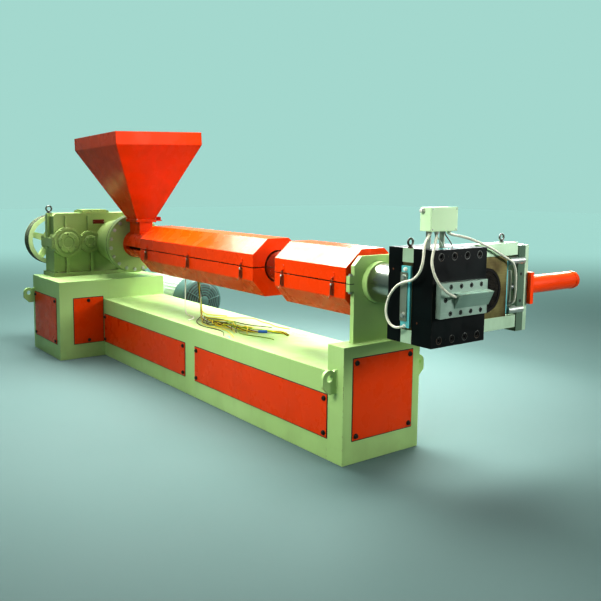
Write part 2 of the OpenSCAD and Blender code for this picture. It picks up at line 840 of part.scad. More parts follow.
module cover_saddles() {
    seats = [for (s = concat(band_starts(cover_1), band_starts(cover_2))) s + band_w + saddle_set];
    floor_z = axis_h - cover_down + cover_t;
    color(steel) for (s = seats)
        prism_x([s, s + saddle_t]) difference() {
            translate([-saddle_half, floor_z]) square([2 * saddle_half, axis_h - barrel_r / 2 - floor_z]);
            translate([0, axis_h]) circle(barrel_r);
        }
}

// One half of a cover: the bent sheet with its two end plates, over or under the seam
module cover_half(x, top) {
    low = top ? axis_h + cover_seam / 2 : axis_h - cover_down;
    tall = (top ? cover_up : cover_down) - cover_seam / 2;
    for (part = [[x[0], x[0] + cover_t, 0], [x[0] + cover_t, x[1] - cover_t, 1], [x[1] - cover_t, x[1], 0]])
        prism_x([part[0], part[1]]) intersection() {
            difference() {
                octagon(0);
                if (part[2] == 1) octagon(cover_t);
                else translate([0, axis_h]) circle(cover_hole_r);
            }
            translate([-cover_a, low]) square([cover_w, tall]);
        }
}

// Hinge knuckles with their leaves: one in the middle on the lid, two outside it on the base
module knuckles(at, top) {
    gap = 1;
    side = top ? 1 : -1;
    spans = top ? [[-knuckle_l / 2, knuckle_l / 2]]
        : [[-knuckle_l, -knuckle_l / 2 - gap], [knuckle_l / 2 + gap, knuckle_l]];
    for (x = at, s = spans) difference() {
        union() {
            bar_x([x + s[0], x + s[1]], knuckle_r, [hinge_y, axis_h]);
            prism_x([x + s[0], x + s[1]]) translate([0, axis_h])
                polygon([[cover_a, side * cover_seam / 2], [hinge_y, side * cover_seam / 2],
                    [hinge_y, side * knuckle_r], [cover_a + leaf_t, side * (knuckle_r + 6)],
                    [cover_a + leaf_t, side * leaf_h], [cover_a, side * leaf_h]]);
        }
        bar_x([x - knuckle_l - 1, x + knuckle_l + 1], hinge_pin_r + pin_gap, [hinge_y, axis_h]);
    }
}

// A keeper on the lid's front for each latch
module keepers(at) {
    hook = latch_w / 2 - keeper_hook[0];
    for (x = at) {
        block([x - latch_w / 2, x + latch_w / 2], [-cover_a - latch_t, -cover_a],
            [axis_h + keeper_z[0], axis_h + keeper_z[1]]);
        block([x - hook, x + hook], [-cover_a - latch_t - keeper_hook[1], -cover_a - latch_t],
            [axis_h + keeper_hook[2], axis_h + keeper_hook[3]]);
    }
}

module cover_base_1() {
    color(orange) {
        cover_half(cover_1, false);
        knuckles(hinges_1, false);
    }
}

module cover_base_2() {
    color(orange) {
        cover_half(cover_2, false);
        knuckles(hinges_2, false);
    }
}

module cover_lid_1() {
    color(orange) {
        cover_half(cover_1, true);
        knuckles(hinges_1, true);
        keepers(latches_1);
    }
}

module cover_lid_2() {
    color(orange) {
        cover_half(cover_2, true);
        knuckles(hinges_2, true);
        keepers(latches_2);
    }
}

module hinge_pins() {
    color(steel) for (x = concat(hinges_1, hinges_2))
        bar_x([x - knuckle_l - 4, x + knuckle_l + 4], hinge_pin_r, [hinge_y, axis_h]);
}

// Toggle latches on the lower halves: base, lever and a bail that stands before the lid's keeper
module latches() {
    face = -cover_a;
    out = [face - latch_t - bail[3], face - latch_t - bail[2]];
    color(steel) for (x = concat(latches_1, latches_2)) {
        block([x - latch_w / 2, x + latch_w / 2], [face - latch_t, face],
            [axis_h + latch_z[0], axis_h + latch_z[1]]);
        block([x - lever[0], x + lever[0]], [face - latch_t - lever[1], face - latch_t],
            [axis_h + lever[2], axis_h + lever[3]]);
        for (side = [-1, 1])
            block([x + side * bail[0] - bail[1], x + side * bail[0] + bail[1]], out,
                [axis_h + bail[4], axis_h + bail[5] - latch_t]);
        block([x - bail[0] - bail[1], x + bail[0] + bail[1]], out,
            [axis_h + bail[5] - 2 * latch_t, axis_h + bail[5]]);
    }
}

// Front support
module support_outline() {
    translate([0, axis_h]) polygon([[-support_half, endbox_h - axis_h], [support_half, endbox_h - axis_h],
        [support_half, support_top - support_chamfer], [support_half - support_chamfer, support_top],
        [support_chamfer - support_half, support_top], [-support_half, support_top - support_chamfer]]);
    reach = support_half + ear_reach;
    translate([-reach, axis_h - ear_h]) square([2 * reach, 2 * ear_h]);
}

module support_half_plate(top) {
    intersection() {
        difference() {
            union() {
                prism_x(support_x) support_outline();
                bar_x([support_x[1], support_x[1] + collar_t], collar_r, [0, axis_h]);
            }
            bar_x([support_x[0] - 1, support_x[1] + collar_t + 1], barrel_head_d / 2, [0, axis_h]);
        }
        translate([bed_len, 0, 0]) half_space(top);
    }
}

module support_plate() {
    color(green) support_half_plate(false);
}

module support_cap() {
    color(green) support_half_plate(true);
}

// Screen changer and die
module changer_back() {
    color(black) block(back_x, [-head_w / 2, head_w / 2], head_z);
}

module changer_frame() {
    color(green) for (z = [bar_low, bar_high]) {
        block(frame_x, [-head_w / 2, bar_end], z);
        block([frame_x[0], frame_x[1] - bar_neck[1]], [bar_end, bar_end + bar_neck[0]],
            [max(z[0], end_plate_z[0]), min(z[1], end_plate_z[1])]);
    }
}

module changer_front() {
    color(black) difference() {
        block(front_x, [-head_w / 2, head_w / 2], head_z);
        for (i = [0 : 3], side = [-1, 1])
            bar_x([front_x[1] - socket_depth, front_x[1] + 1], socket_r,
                [(i - 1.5) * socket_pitch, (head_z[0] + head_z[1]) / 2 + side * socket_rise]);
    }
}

module changer_slide() {
    recess = 6;
    color(steel) difference() {
        block(slide_x, slide_y, slide_z);
        bar_x([slide_x[1] - recess, slide_x[1] + 1], screen_d / 2, [screen_pitch, rod_z]);
    }
}

module strip_heaters() {
    z = [strip_z - strip_h / 2, strip_z + strip_h / 2];
    x = [slide_mid - strip_w / 2, slide_mid + strip_w / 2];
    color("paleturquoise") {
        block(x, [slide_y[0] - strip_t, slide_y[0]], z);
        difference() {
            block(x, [slide_y[1], slide_y[1] + strip_t], z);
            bar_y([slide_y[1] - 1, slide_y[1] + strip_t + 1], rod_r, [slide_mid, rod_z]);
        }
    }
}

module heater_clamps() {
    z = [strip_z - clamp_h / 2, strip_z + clamp_h / 2];
    x = [slide_mid - strip_w / 2, slide_mid - strip_w / 2 + clamp_w];
    low = slide_y[0] - strip_t;
    high = slide_y[1] + strip_t;
    color(steel) {
        block(x, [low - clamp_t, low], z);
        difference() {
            block([slide_mid - strip_w / 2, slide_mid + strip_w / 2], [high, high + block_t],
                [rod_z - block_h / 2, rod_z + block_h / 2]);
            bar_y([high - 1, high + block_t + 1], rod_r, [slide_mid, rod_z]);
        }
    }
}

module die_plate() {
    face = front_x[1];
    front = face + die_t;
    color(steel) difference() {
        union() {
            block([face, front], [-die_w / 2, die_w / 2], [die_z - die_h / 2, die_z + die_h / 2]);
            prism_y([wedge_start, die_w / 2 + wedge_over]) polygon([
                [front - wedge_root, die_z + wedge_z[2]], [front, die_z + wedge_z[2]],
                [front + wedge_out, die_z + wedge_z[1]],
                [front, die_z + wedge_z[0]], [front - wedge_root, die_z + wedge_z[0]]]);
        }
        for (i = [0 : 3], side = [-1, 1])
            bar_x([front - die_bolt_depth, front + 1], die_bolt_r,
                [(i - 1.5) * die_bolt_pitch + die_bolt_shift, die_z + side * die_bolt_rise]);
        bar_x([front - die_bolt_depth, front + 1], die_bolt_r,
            [-die_w / 2 + die_side_bolt[0], die_z + die_side_bolt[1]]);
    }
}

// The plate on the bars' ends, with two drilled holes and seats for the tie rods
module changer_end_plate() {
    mid_y = (end_plate_y[0] + end_plate_y[1]) / 2;
    color(green) difference() {
        block(frame_x, end_plate_y, end_plate_z);
        bar_y([end_plate_y[0] - 1, end_plate_y[1] + 1], rod_r + rod_gap, [slide_mid, rod_z]);
        for (rise = tie_rise) bar_y([end_plate_y[0] - 1, end_plate_y[1] + 1], tie_r, [tie_x, rod_z + rise]);
        for (rise = end_hole_rise)
            bar_x([frame_x[1] - end_hole_depth, frame_x[1] + 1], end_hole_r, [mid_y, rod_z + rise]);
    }
}

module cylinder_plate() {
    color(steel) difference() {
        block(frame_x, cyl_plate_y, end_plate_z);
        bar_y([cyl_plate_y[0] - 1, cyl_plate_y[1] + 1], rod_r + rod_gap, [slide_mid, rod_z]);
    }
}

module tie_rods() {
    color(steel) for (rise = tie_rise)
        bar_y([cyl_plate_y[0] - tie_len, cyl_plate_y[0]], tie_r, [tie_x, rod_z + rise]);
}

module slide_cylinder() {
    flange_y = [cyl_plate_y[1], cyl_y[0]];
    color(orange) difference() {
        union() {
            block([slide_mid - cyl_flange_half, slide_mid + cyl_flange_half], flange_y, cyl_flange_z);
            bar_y(cyl_y, cyl_d / 2, [slide_mid, rod_z]);
        }
        bar_y([flange_y[0] - 1, cyl_y[0]], rod_r + rod_gap, [slide_mid, rod_z]);
        bar_y([cyl_y[0] - 1, cyl_y[1] - cyl_cap], cyl_bore_r, [slide_mid, rod_z]);
    }
}

module slide_rod() {
    piston_y = cyl_y[1] - cyl_cap - free_gap - piston_t;
    color(steel) {
        bar_y([slide_y[1], piston_y], rod_r, [slide_mid, rod_z]);
        bar_y([piston_y, piston_y + piston_t], cyl_bore_r - guide_gap, [slide_mid, rod_z]);
    }
}

// An eyebolt of a given ring radius and wire radius, standing on a flat top
module eyebolt(at, eye) {
    ring = eye[0];
    wire = eye[1];
    translate(at) {
        cylinder(h = wire, r = ring - wire / 2);
        cylinder(h = 3 * wire, r = 1.7 * wire);
        translate([0, 0, 2.3 * wire + ring]) rotate([0, 90, 0])
            rotate_extrude() translate([ring, 0]) circle(wire);
    }
}

// Two on the changer's top bar and one on each of the gearbox's ribs
module eyebolts() {
    color(steel) {
        for (y = eye_y) eyebolt([slide_mid, y, head_z[1]], eye_small);
        for (y = wall_y) eyebolt([(wall_x[0] + wall_x[1]) / 2, y, axis_h + gear_top], eye_large);
    }
}

module junction_box() {
    color(green) block(box_x, box_y, box_z);
}

module junction_bracket() {
    x = [leg_x - bracket_w / 2, leg_x + bracket_w / 2];
    color(steel) for (y = leg_y) {
        block(x, [y, y + bracket_t], [head_z[1], box_z[0]]);
        block(x, [y + bracket_t, y + bracket_foot], [head_z[1], head_z[1] + bracket_t]);
    }
}

// A tube of round section swept along the points of a route
function unit(v) = v / norm(v);
function along(p, i) = unit(p[min(i + 1, len(p) - 1)] - p[max(i - 1, 0)]);
function face_way(v) = let (a = [for (c = v) abs(c)], m = max(a)) unit([for (c = v) abs(c) == m ? c : 0]);
module tube(p, r, sides, ref) {
    rings = [for (i = [0 : len(p) - 1])
        let (t = i == 0 || i == len(p) - 1 ? face_way(along(p, i)) : along(p, i),
            n = unit(cross(t, ref)), b = cross(t, n))
            [for (k = [0 : sides - 1]) p[i] + r * (cos(360 * k / sides) * n + sin(360 * k / sides) * b)]];
    last = len(p) - 1;
    polyhedron([for (ring = rings) each ring],
        concat([[for (k = [0 : sides - 1]) k]],
            [for (i = [0 : last - 1], k = [0 : sides - 1])
                let (m = (k + 1) % sides)
                    [i * sides + k, (i + 1) * sides + k, (i + 1) * sides + m, i * sides + m]],
            [[for (k = [sides - 1 : -1 : 0]) last * sides + k]]));
}

module lead_left() {
    color(white) tube(route_left, lead_r, 8, [0.2, 1, 0.1]);
}

module lead_die() {
    color(white) tube(route_die, lead_r, 8, [1, 0.1, 0.2]);
}

module lead_right() {
    color(white) tube(route_right, lead_r, 8, [1, 0.1, 0.1]);
}

module thermocouple_bundle() {
    color("khaki") tube(route_bundle, tape_r, 8, [0.1, 1, 0.2]);
}

bed();
pedestal();
end_box();
bed_panels();
pedestal_panels();
end_panel();
lifting_lugs();
gearbox_lower();
gearbox_upper();
bearing_caps();
inspection_cover();
thrust_housing();
drive_pulley();
motor_pulley();
drive_belts();
motor_frame();
motor_fan_cover();
motor_terminal_box();
motor_base();
feed_housing();
feed_throat();
hopper_gate();
hopper();
barrel();
heater_bands();
cover_saddles();
cover_base_1();
cover_base_2();
cover_lid_1();
cover_lid_2();
hinge_pins();
latches();
support_plate();
support_cap();
changer_back();
changer_frame();
changer_front();
changer_slide();
strip_heaters();
heater_clamps();
die_plate();
changer_end_plate();
cylinder_plate();
tie_rods();
slide_cylinder();
slide_rod();
eyebolts();
junction_box();
junction_bracket();
lead_left();
lead_die();
lead_right();
thermocouple_bundle();
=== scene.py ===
"""Looks of a single-screw plastic extruder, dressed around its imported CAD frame.

Metres, in the CAD frame: X runs along the barrel from the gearbox to the die, Y away from the
operator's side, Z up. The origin is on the floor under the barrel's axis.
"""

import logging
import math
from collections.abc import Callable, Sequence
from dataclasses import dataclass, field
from enum import Enum
from typing import ClassVar

import bpy
import numpy as np
from mathutils import Matrix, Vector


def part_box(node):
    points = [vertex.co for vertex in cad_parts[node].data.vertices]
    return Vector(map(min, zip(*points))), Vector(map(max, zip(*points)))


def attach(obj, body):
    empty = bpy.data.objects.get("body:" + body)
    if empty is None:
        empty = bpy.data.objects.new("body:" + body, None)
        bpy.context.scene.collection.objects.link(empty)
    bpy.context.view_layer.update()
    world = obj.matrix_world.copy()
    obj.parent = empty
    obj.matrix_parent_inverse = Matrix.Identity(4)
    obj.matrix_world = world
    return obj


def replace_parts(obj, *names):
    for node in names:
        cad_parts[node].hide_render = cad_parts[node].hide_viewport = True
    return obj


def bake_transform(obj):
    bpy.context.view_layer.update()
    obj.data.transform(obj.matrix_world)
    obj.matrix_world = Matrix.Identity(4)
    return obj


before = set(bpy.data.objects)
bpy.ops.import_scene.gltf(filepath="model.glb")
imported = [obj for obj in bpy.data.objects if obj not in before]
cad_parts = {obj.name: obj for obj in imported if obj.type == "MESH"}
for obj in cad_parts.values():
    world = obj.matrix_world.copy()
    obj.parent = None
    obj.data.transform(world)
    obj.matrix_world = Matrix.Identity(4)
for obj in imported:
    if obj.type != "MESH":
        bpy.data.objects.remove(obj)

log = logging.getLogger("extruder")
Array = np.ndarray
Colour = tuple[float, float, float]
Point = tuple[float, float, float]
Pair = tuple[float, float]
Places = tuple[float, ...]
Route = tuple[Point, ...]
Profile = Sequence[Pair]
Socket = bpy.types.NodeSocket
Material = bpy.types.Material
Steps = tuple[Callable[[], None], ...]
# Height of the barrel's axis over the floor
AXIS_Z = 1.0
# Numbers of the three coordinates
ALONG, ACROSS, UP = range(3)
# Points on each span of a smooth curve before it is spaced evenly
SPAN_POINTS = 12
# A direction that no swept path starts along
ASKEW = (0.31, 0.57, 0.76)
# Edges sharper than this angle in degrees stay sharp
SHARP_ANGLE = 40.0


# Surfaces


@dataclass
class Surface:
    """A mesh as whole arrays.

    Args:
        points: one row of three numbers for each point.
        quads: one row of four point numbers for each face of the grid.
        caps: point numbers of each flat closing face.
        uv: for each quad, the four corners' places on the surface.
    """

    points: Array
    quads: Array
    caps: list[Array] = field(default_factory=list)
    uv: Array | None = None


class Axis(Enum):
    """The ways that a fastener or plate can face."""

    X = (1.0, 0.0, 0.0)
    Y = (0.0, 1.0, 0.0)
    Z = (0.0, 0.0, 1.0)
    BACK_X = (-1.0, 0.0, 0.0)
    BACK_Y = (0.0, -1.0, 0.0)
    DOWN = (0.0, 0.0, -1.0)


def skin(rings: Array, capped: bool = True, looped: bool = False, length: float = 1.0) -> Surface:
    """Skins a stack of closed rings: each quad joins neighbours on a ring with the ring after it.

    Args:
        rings: rings by points by three, counter-clockwise as seen from the stack's far end.
        capped: closes the first and the last ring with a flat face.
        looped: joins the last ring to the first.
        length: the stack's length, for the second UV number.

    Returns:
        The closed surface.
    """
    m, n, _ = rings.shape
    i, j = np.meshgrid(np.arange(m if looped else m - 1), np.arange(n), indexing="ij")
    up, on = (i + 1) % m, (j + 1) % n
    quads = np.stack([i * n + j, i * n + on, up * n + on, up * n + j], -1).reshape(-1, 4)
    u = np.stack([j, j + 1, j + 1, j], -1) / n
    v = np.stack([i, i, i + 1, i + 1], -1) * length / max(m - 1, 1)
    ends = np.arange(n)
    caps = [ends[::-1], ends + (m - 1) * n] if capped and not looped else []
    return Surface(rings.reshape(-1, 3), quads, caps, np.stack([u, v], -1).reshape(-1, 4, 2))


def turned(profile: Profile, sides: int = 32, hexed: tuple[int, ...] = ()) -> Surface:
    """Turns a profile about Z.

    A hexagon's radius is its corner radius times cos 30 over cos of the angle from the nearest flat.

    Args:
        profile: rows of radius and height.
        sides: points round the axis.
        hexed: numbers of the rows that are hexagons.

    Returns:
        The closed surface.
    """
    r, z = np.array(profile, float).T
    t = np.linspace(0, 2 * np.pi, sides, endpoint=False)
    flat = np.cos(np.pi / 6) / np.cos(np.mod(t, np.pi / 3) - np.pi / 6)
    shape = np.where(np.isin(np.arange(len(r)), hexed)[:, None], flat, 1.0) * r[:, None]
    return skin(np.stack([shape * np.cos(t), shape * np.sin(t), np.repeat(z[:, None], sides, 1)], -1))


def outline(a: float, b: float, corner: float, steps: int = 4) -> Array:
    """A rectangle with round corners, as points round it.

    Args:
        a: half its width.
        b: half its height.
        corner: the corners' radius.
        steps: points on each corner.

    Returns:
        One row of two numbers for each point.
    """
    t = np.linspace(0, np.pi / 2, steps)
    quarter = np.stack([np.cos(t), np.sin(t)], -1) * corner
    turns = [quarter @ np.array([[c, s], [-s, c]]) for c, s in ((1, 0), (0, 1), (-1, 0), (0, -1))]
    middles = np.array([[1, 1], [-1, 1], [-1, -1], [1, -1]]) * (np.array([a, b]) - corner)
    return np.concatenate([q + m for q, m in zip(turns, middles)])


def plate(a: float, b: float, t: float, corner: float = 0.004, edge: float = 0.001) -> Surface:
    """A flat plate on Z = 0 with round corners and a broken upper edge, skinned from three outlines.

    Args:
        a: half its width.
        b: half its height.
        t: its thickness.
        corner: the corners' radius.
        edge: how far the upper edge is cut back.

    Returns:
        The closed surface.
    """
    full, small = outline(a, b, corner), outline(a - edge, b - edge, max(corner - edge, edge / 2))
    rows = [(full, 0.0), (full, t - edge), (small, t)]
    return skin(np.stack([np.column_stack([o, np.full(len(o), z)]) for o, z in rows]))


def placed(shape: Surface, origins: Array | list, axis: Axis | Point = Axis.Z,
           spin: float = 0.0) -> Surface:
    """Copies a shape to many places, its Z turned to an axis.

    Args:
        shape: the shape, standing on Z = 0.
        origins: one row of three numbers for each place.
        axis: the way that the shape's Z points.
        spin: the shape's turn about that axis in degrees.

    Returns:
        All the copies as one surface.
    """
    w = np.array(axis.value if isinstance(axis, Axis) else axis, float)
    w /= np.linalg.norm(w)
    u = np.cross([0.0, 0.0, 1.0], w) if abs(w[2]) < 0.9 else np.array([1.0, 0.0, 0.0])
    u -= w * (u @ w)
    u /= np.linalg.norm(u)
    v = np.cross(w, u)
    c, s = math.cos(math.radians(spin)), math.sin(math.radians(spin))
    turn = np.stack([c * u + s * v, c * v - s * u, w])
    at = np.atleast_2d(np.array(origins, float))
    step = np.arange(len(at)) * len(shape.points)
    points = ((shape.points @ turn)[None] + at[:, None]).reshape(-1, 3)
    quads = (shape.quads[None] + step[:, None, None]).reshape(-1, 4)
    caps = [cap + start for start in step for cap in shape.caps]
    return Surface(points, quads, caps, None if shape.uv is None else np.tile(shape.uv, (len(at), 1, 1)))


def joined(*shapes: Surface) -> Surface:
    """Joins several shapes, without their UV.

    Args:
        shapes: the shapes.

    Returns:
        One surface with all their faces.
    """
    starts = np.cumsum([0] + [len(s.points) for s in shapes[:-1]])
    return Surface(np.concatenate([s.points for s in shapes]),
                   np.concatenate([s.quads + n for s, n in zip(shapes, starts)]),
                   [cap + n for s, n in zip(shapes, starts) for cap in s.caps])


def smooth_path(points: list[Point], step: float) -> Array:
    """A smooth curve through points: on each span a cubic whose end slopes join the neighbours.

    Args:
        points: the places that it goes through.
        step: the distance between the curve's own points.

    Returns:
        One row of three numbers for each point, evenly spaced.
    """
    p = np.array(points, float)
    ends = np.vstack([2 * p[0] - p[1], p, 2 * p[-1] - p[-2]])
    t = np.linspace(0, 1, SPAN_POINTS, endpoint=False)[None, :, None]
    a, b, c, d = (ends[k:len(p) - 1 + k, None] for k in range(4))
    fine = 0.5 * (2 * b + (c - a) * t + (2 * a - 5 * b + 4 * c - d) * t**2
                  + (3 * b - a - 3 * c + d) * t**3)
    fine = np.vstack([fine.reshape(-1, 3), p[-1:]])
    along = np.concatenate([[0], np.cumsum(np.linalg.norm(np.diff(fine, axis=0), axis=1))])
    at = np.linspace(0, along[-1], max(4, round(along[-1] / step)))
    return np.stack([np.interp(at, along, fine[:, k]) for k in range(3)], -1)


def length_of(path: Array) -> float:
    """The length along a path."""
    return float(np.linalg.norm(np.diff(path, axis=0), axis=1).sum())


def swept(path: Array, radius: float | Array, sides: int = 10, flat: float = 1.0) -> Surface:
    """A round section carried along a path, square to it, its zero angle kept from turning.

    Args:
        path: the points of the centre line.
        radius: the section's radius, or one for each point.
        sides: points round the section.
        flat: the section's second half axis over its first.

    Returns:
        The closed surface.
    """
    t = np.gradient(path, axis=0)
    t /= np.linalg.norm(t, axis=1)[:, None]
    n = np.zeros_like(t)
    n[0] = np.cross(t[0], ASKEW)
    for i in range(1, len(t)):
        n[i] = n[i - 1] - t[i] * (n[i - 1] @ t[i])
        n[i] /= np.linalg.norm(n[i])
    n[0] /= np.linalg.norm(n[0])
    b = np.cross(t, n)
    a = np.linspace(0, 2 * np.pi, sides, endpoint=False)
    r = np.broadcast_to(np.asarray(radius, float).reshape(-1, 1), (len(path), sides))
    one, other = (r * np.cos(a))[..., None], (flat * r * np.sin(a))[..., None]
    rings = path[:, None] + one * n[:, None] + other * b[:, None]
    return skin(rings, length=length_of(path))


def ring_of(count: int, radius: float, at: Point, start: float = 0.0) -> Array:
    """Evenly spaced places on a circle square to X.

    Args:
        count: how many places.
        radius: the circle's radius.
        at: its middle.
        start: the first place's angle off the level in degrees.

    Returns:
        One row of three numbers for each place.
    """
    a = np.radians(start) + np.arange(count) * 2 * np.pi / count
    return np.stack([np.zeros(count), radius * np.cos(a), radius * np.sin(a)], -1) + np.array(at)


# Fasteners


class Head(Enum):
    """The kinds of screw head."""

    HEX = "hexagon head on a washer"
    SOCKET = "cap head with a hexagon socket"
    DOME = "round head"


@dataclass(frozen=True)
class Screw:
    """A screw head that stands on a face.

    Args:
        head: its kind.
        radius: the radius over the head's corners or its rim.
        height: how far it stands proud.
    """

    head: Head
    radius: float
    height: float

    def shape(self) -> Surface:
        """The head's profile, in shares of its radius and height, turned about Z.

        Returns:
            The closed surface, standing on Z = 0.
        """
        r, h = self.radius, self.height
        if self.head is Head.HEX:
            rows = [(1.25 * r, 0), (1.25 * r, 0.16 * h), (1.2 * r, 0.2 * h), (r, 0.2 * h), (r, 0.85 * h),
                    (0.9 * r, h), (0.5 * r, h)]
            return turned(rows, 24, (3, 4))
        if self.head is Head.SOCKET:
            rows = [(r, 0), (r, 0.88 * h), (0.93 * r, h), (0.6 * r, h), (0.56 * r, 0.94 * h),
                    (0.54 * r, 0.35 * h), (0.3 * r, 0.35 * h)]
            return turned(rows, 24, (4, 5))
        t = np.linspace(0, 1.45, 5)
        return turned([(r, 0)] + [(r * math.cos(x), 0.25 * h + 0.75 * h * math.sin(x)) for x in t], 16)

    def at(self, places: Array | list, axis: Axis, spin: float = 11.0) -> Surface:
        """Heads of this kind at many places, facing along an axis."""
        return placed(self.shape(), places, axis, spin)


# Finishes


class Graph:
    """Builds one node material that reads the Object coordinates."""

    def __init__(self, name: str) -> None:
        """Starts an empty material.

        Args:
            name: the material's name.
        """
        self.material = bpy.data.materials.new(name)
        self.material.use_nodes = True
        self.tree = self.material.node_tree
        self.tree.nodes.clear()
        coords = self.add("TexCoord")
        self.place, self.uv = coords.outputs["Object"], coords.outputs["UV"]

    def add(self, kind: str, wires: dict | None = None, **settings: object) -> bpy.types.Node:
        """Adds a node.

        Args:
            kind: its type, without the leading ShaderNode.
            wires: for each input, the socket that feeds it or its constant.
            settings: the node's own properties.

        Returns:
            The node.
        """
        node = self.tree.nodes.new("ShaderNode" + kind)
        for key, value in settings.items():
            setattr(node, key, value)
        for key, value in (wires or {}).items():
            if isinstance(value, Socket):
                self.tree.links.new(value, node.inputs[key])
            elif isinstance(value, tuple) and node.inputs[key].type == "RGBA":
                node.inputs[key].default_value = (*value, 1.0)
            else:
                node.inputs[key].default_value = value
        return node

    def stretched(self, scale: Point) -> Socket:
        """The Object coordinates, scaled along each axis."""
        return self.add("Mapping", {"Vector": self.place, "Scale": scale}).outputs[0]

    def noise(self, scale: float, detail: float = 3.0,
              at: Socket | None = None) -> Socket:
        """Soft noise of so many waves a metre."""
        wires = {"Vector": at or self.place, "Scale": scale, "Detail": detail}
        return self.add("TexNoise", wires).outputs[0]

    def grade(self, value: Socket, low: float, high: float, start: float = 0.0,
              end: float = 1.0) -> Socket:
        """Maps a value smoothly from one range to another."""
        wires = {"Value": value, "From Min": low, "From Max": high, "To Min": start, "To Max": end}
        return self.add("MapRange", wires, interpolation_type="SMOOTHSTEP").outputs[0]

    def mix(self, share: Socket, a: object, b: object) -> Socket:
        """Colour a, with that share of colour b."""
        return self.add("Mix", {0: share, 6: a, 7: b}, data_type="RGBA").outputs[2]

    def calc(self, what: str, a: object, b: object) -> Socket:
        """A sum, product or other operation of two numbers."""
        return self.add("Math", {0: a, 1: b}, operation=what).outputs[0]

    def height(self) -> Socket:
        """The height over the floor."""
        return self.add("SeparateXYZ", {"Vector": self.place}).outputs["Z"]

    def facing_up(self) -> Socket:
        """The upward part of the face's normal."""
        normal = self.add("NewGeometry").outputs["Normal"]
        return self.add("SeparateXYZ", {"Vector": normal}).outputs["Z"]

    def rounded(self, radius: float) -> Socket:
        """The normal as if edges were rounded to a radius."""
        return self.add("Bevel", {"Radius": radius}, samples=4).outputs[0]

    def edges(self, radius: float) -> Socket:
        """Finds edges, where the rounded normal leaves the face's own.

        Args:
            radius: how far an edge reaches into the face.

        Returns:
            1 at an edge and 0 on a flat.
        """
        normal = self.add("NewGeometry").outputs["Normal"]
        dot = self.add("VectorMath", {0: self.rounded(radius), 1: normal}, operation="DOT_PRODUCT")
        return self.grade(dot.outputs["Value"], 0.995, 0.9)

    def bump(self, height: Socket, distance: float,
             normal: Socket | None = None) -> Socket:
        """The normal over a height pattern.

        Args:
            height: the pattern.
            distance: its depth in metres.
            normal: the normal under it, if not the face's own.

        Returns:
            The bumped normal.
        """
        wires = {"Height": height, "Distance": distance, "Strength": 1.0}
        if normal is not None:
            wires["Normal"] = normal
        return self.add("Bump", wires).outputs[0]

    def done(self, **sockets: object) -> Material:
        """Sets the shader's inputs.

        Args:
            sockets: the inputs, with spaces in their names as underscores.

        Returns:
            The material.
        """
        wires = {key.replace("_", " "): value for key, value in sockets.items()}
        shader = self.add("BsdfPrincipled", wires)
        self.add("OutputMaterial", {"Surface": shader.outputs[0]})
        return self.material


@dataclass(frozen=True)
class Enamel:
    """Gloss paint on sheet or castings: tone drift, runs of grime, a dirty foot and chipped edges."""

    name: str
    colour: Colour
    shade: Colour
    grime: Colour = (0.11, 0.10, 0.055)
    primer: Colour = (0.16, 0.13, 0.09)
    gloss: float = 0.24
    peel: float = 0.0004
    peel_scale: float = 210.0
    waves: float = 0.0
    chips: float = 0.55

    def material(self) -> Material:
        """Mixes the tones by noise of a few sizes, over a fine orange-peel bump.

        Returns:
            The node material.
        """
        g = Graph(self.name)
        tone = g.mix(g.grade(g.noise(1.1, 2), 0.36, 0.66), self.colour, self.shade)
        tone = g.mix(g.grade(g.noise(55, 6), 0.52, 0.8, 0, 0.14), tone, self.shade)
        splash = g.grade(g.noise(7, 7), 0.36, 0.72, 0, 0.12)
        foot = g.calc("MULTIPLY", g.grade(g.height(), 0.42, 0.0), splash)
        tone = g.mix(foot, tone, self.grime)
        streaks = g.noise(1.0, 5, g.stretched((26, 26, 1.6)))
        runs = g.calc("MULTIPLY", g.grade(streaks, 0.56, 0.8, 0, 0.05), g.grade(g.facing_up(), 0.6, 0.2))
        tone = g.mix(runs, tone, self.grime)
        wear = g.calc("MULTIPLY", g.edges(0.005), g.grade(g.noise(42, 5), self.chips, self.chips + 0.1))
        tone = g.mix(wear, tone, self.primer)
        rough = g.grade(g.noise(9, 6), 0.3, 0.72, self.gloss, self.gloss + 0.16)
        normal = g.bump(g.noise(self.peel_scale, 2), self.peel, g.rounded(0.003))
        if self.waves:
            normal = g.bump(g.noise(3.2, 1), self.waves, normal)
        return g.done(Base_Color=tone, Roughness=rough, Normal=normal, Specular_IOR_Level=0.16,
                      Coat_Weight=0.05, Coat_Roughness=0.1)


class Grain(Enum):
    """How a steel face was cut: the stretch of its lines along X, Y and Z."""

    TURNED_X = (2600.0, 3.0, 3.0)
    TURNED_Y = (3.0, 2600.0, 3.0)
    MILLED_Y = (30.0, 4.0, 380.0)
    MILLED_Z = (30.0, 380.0, 4.0)
    PLAIN = (60.0, 60.0, 60.0)


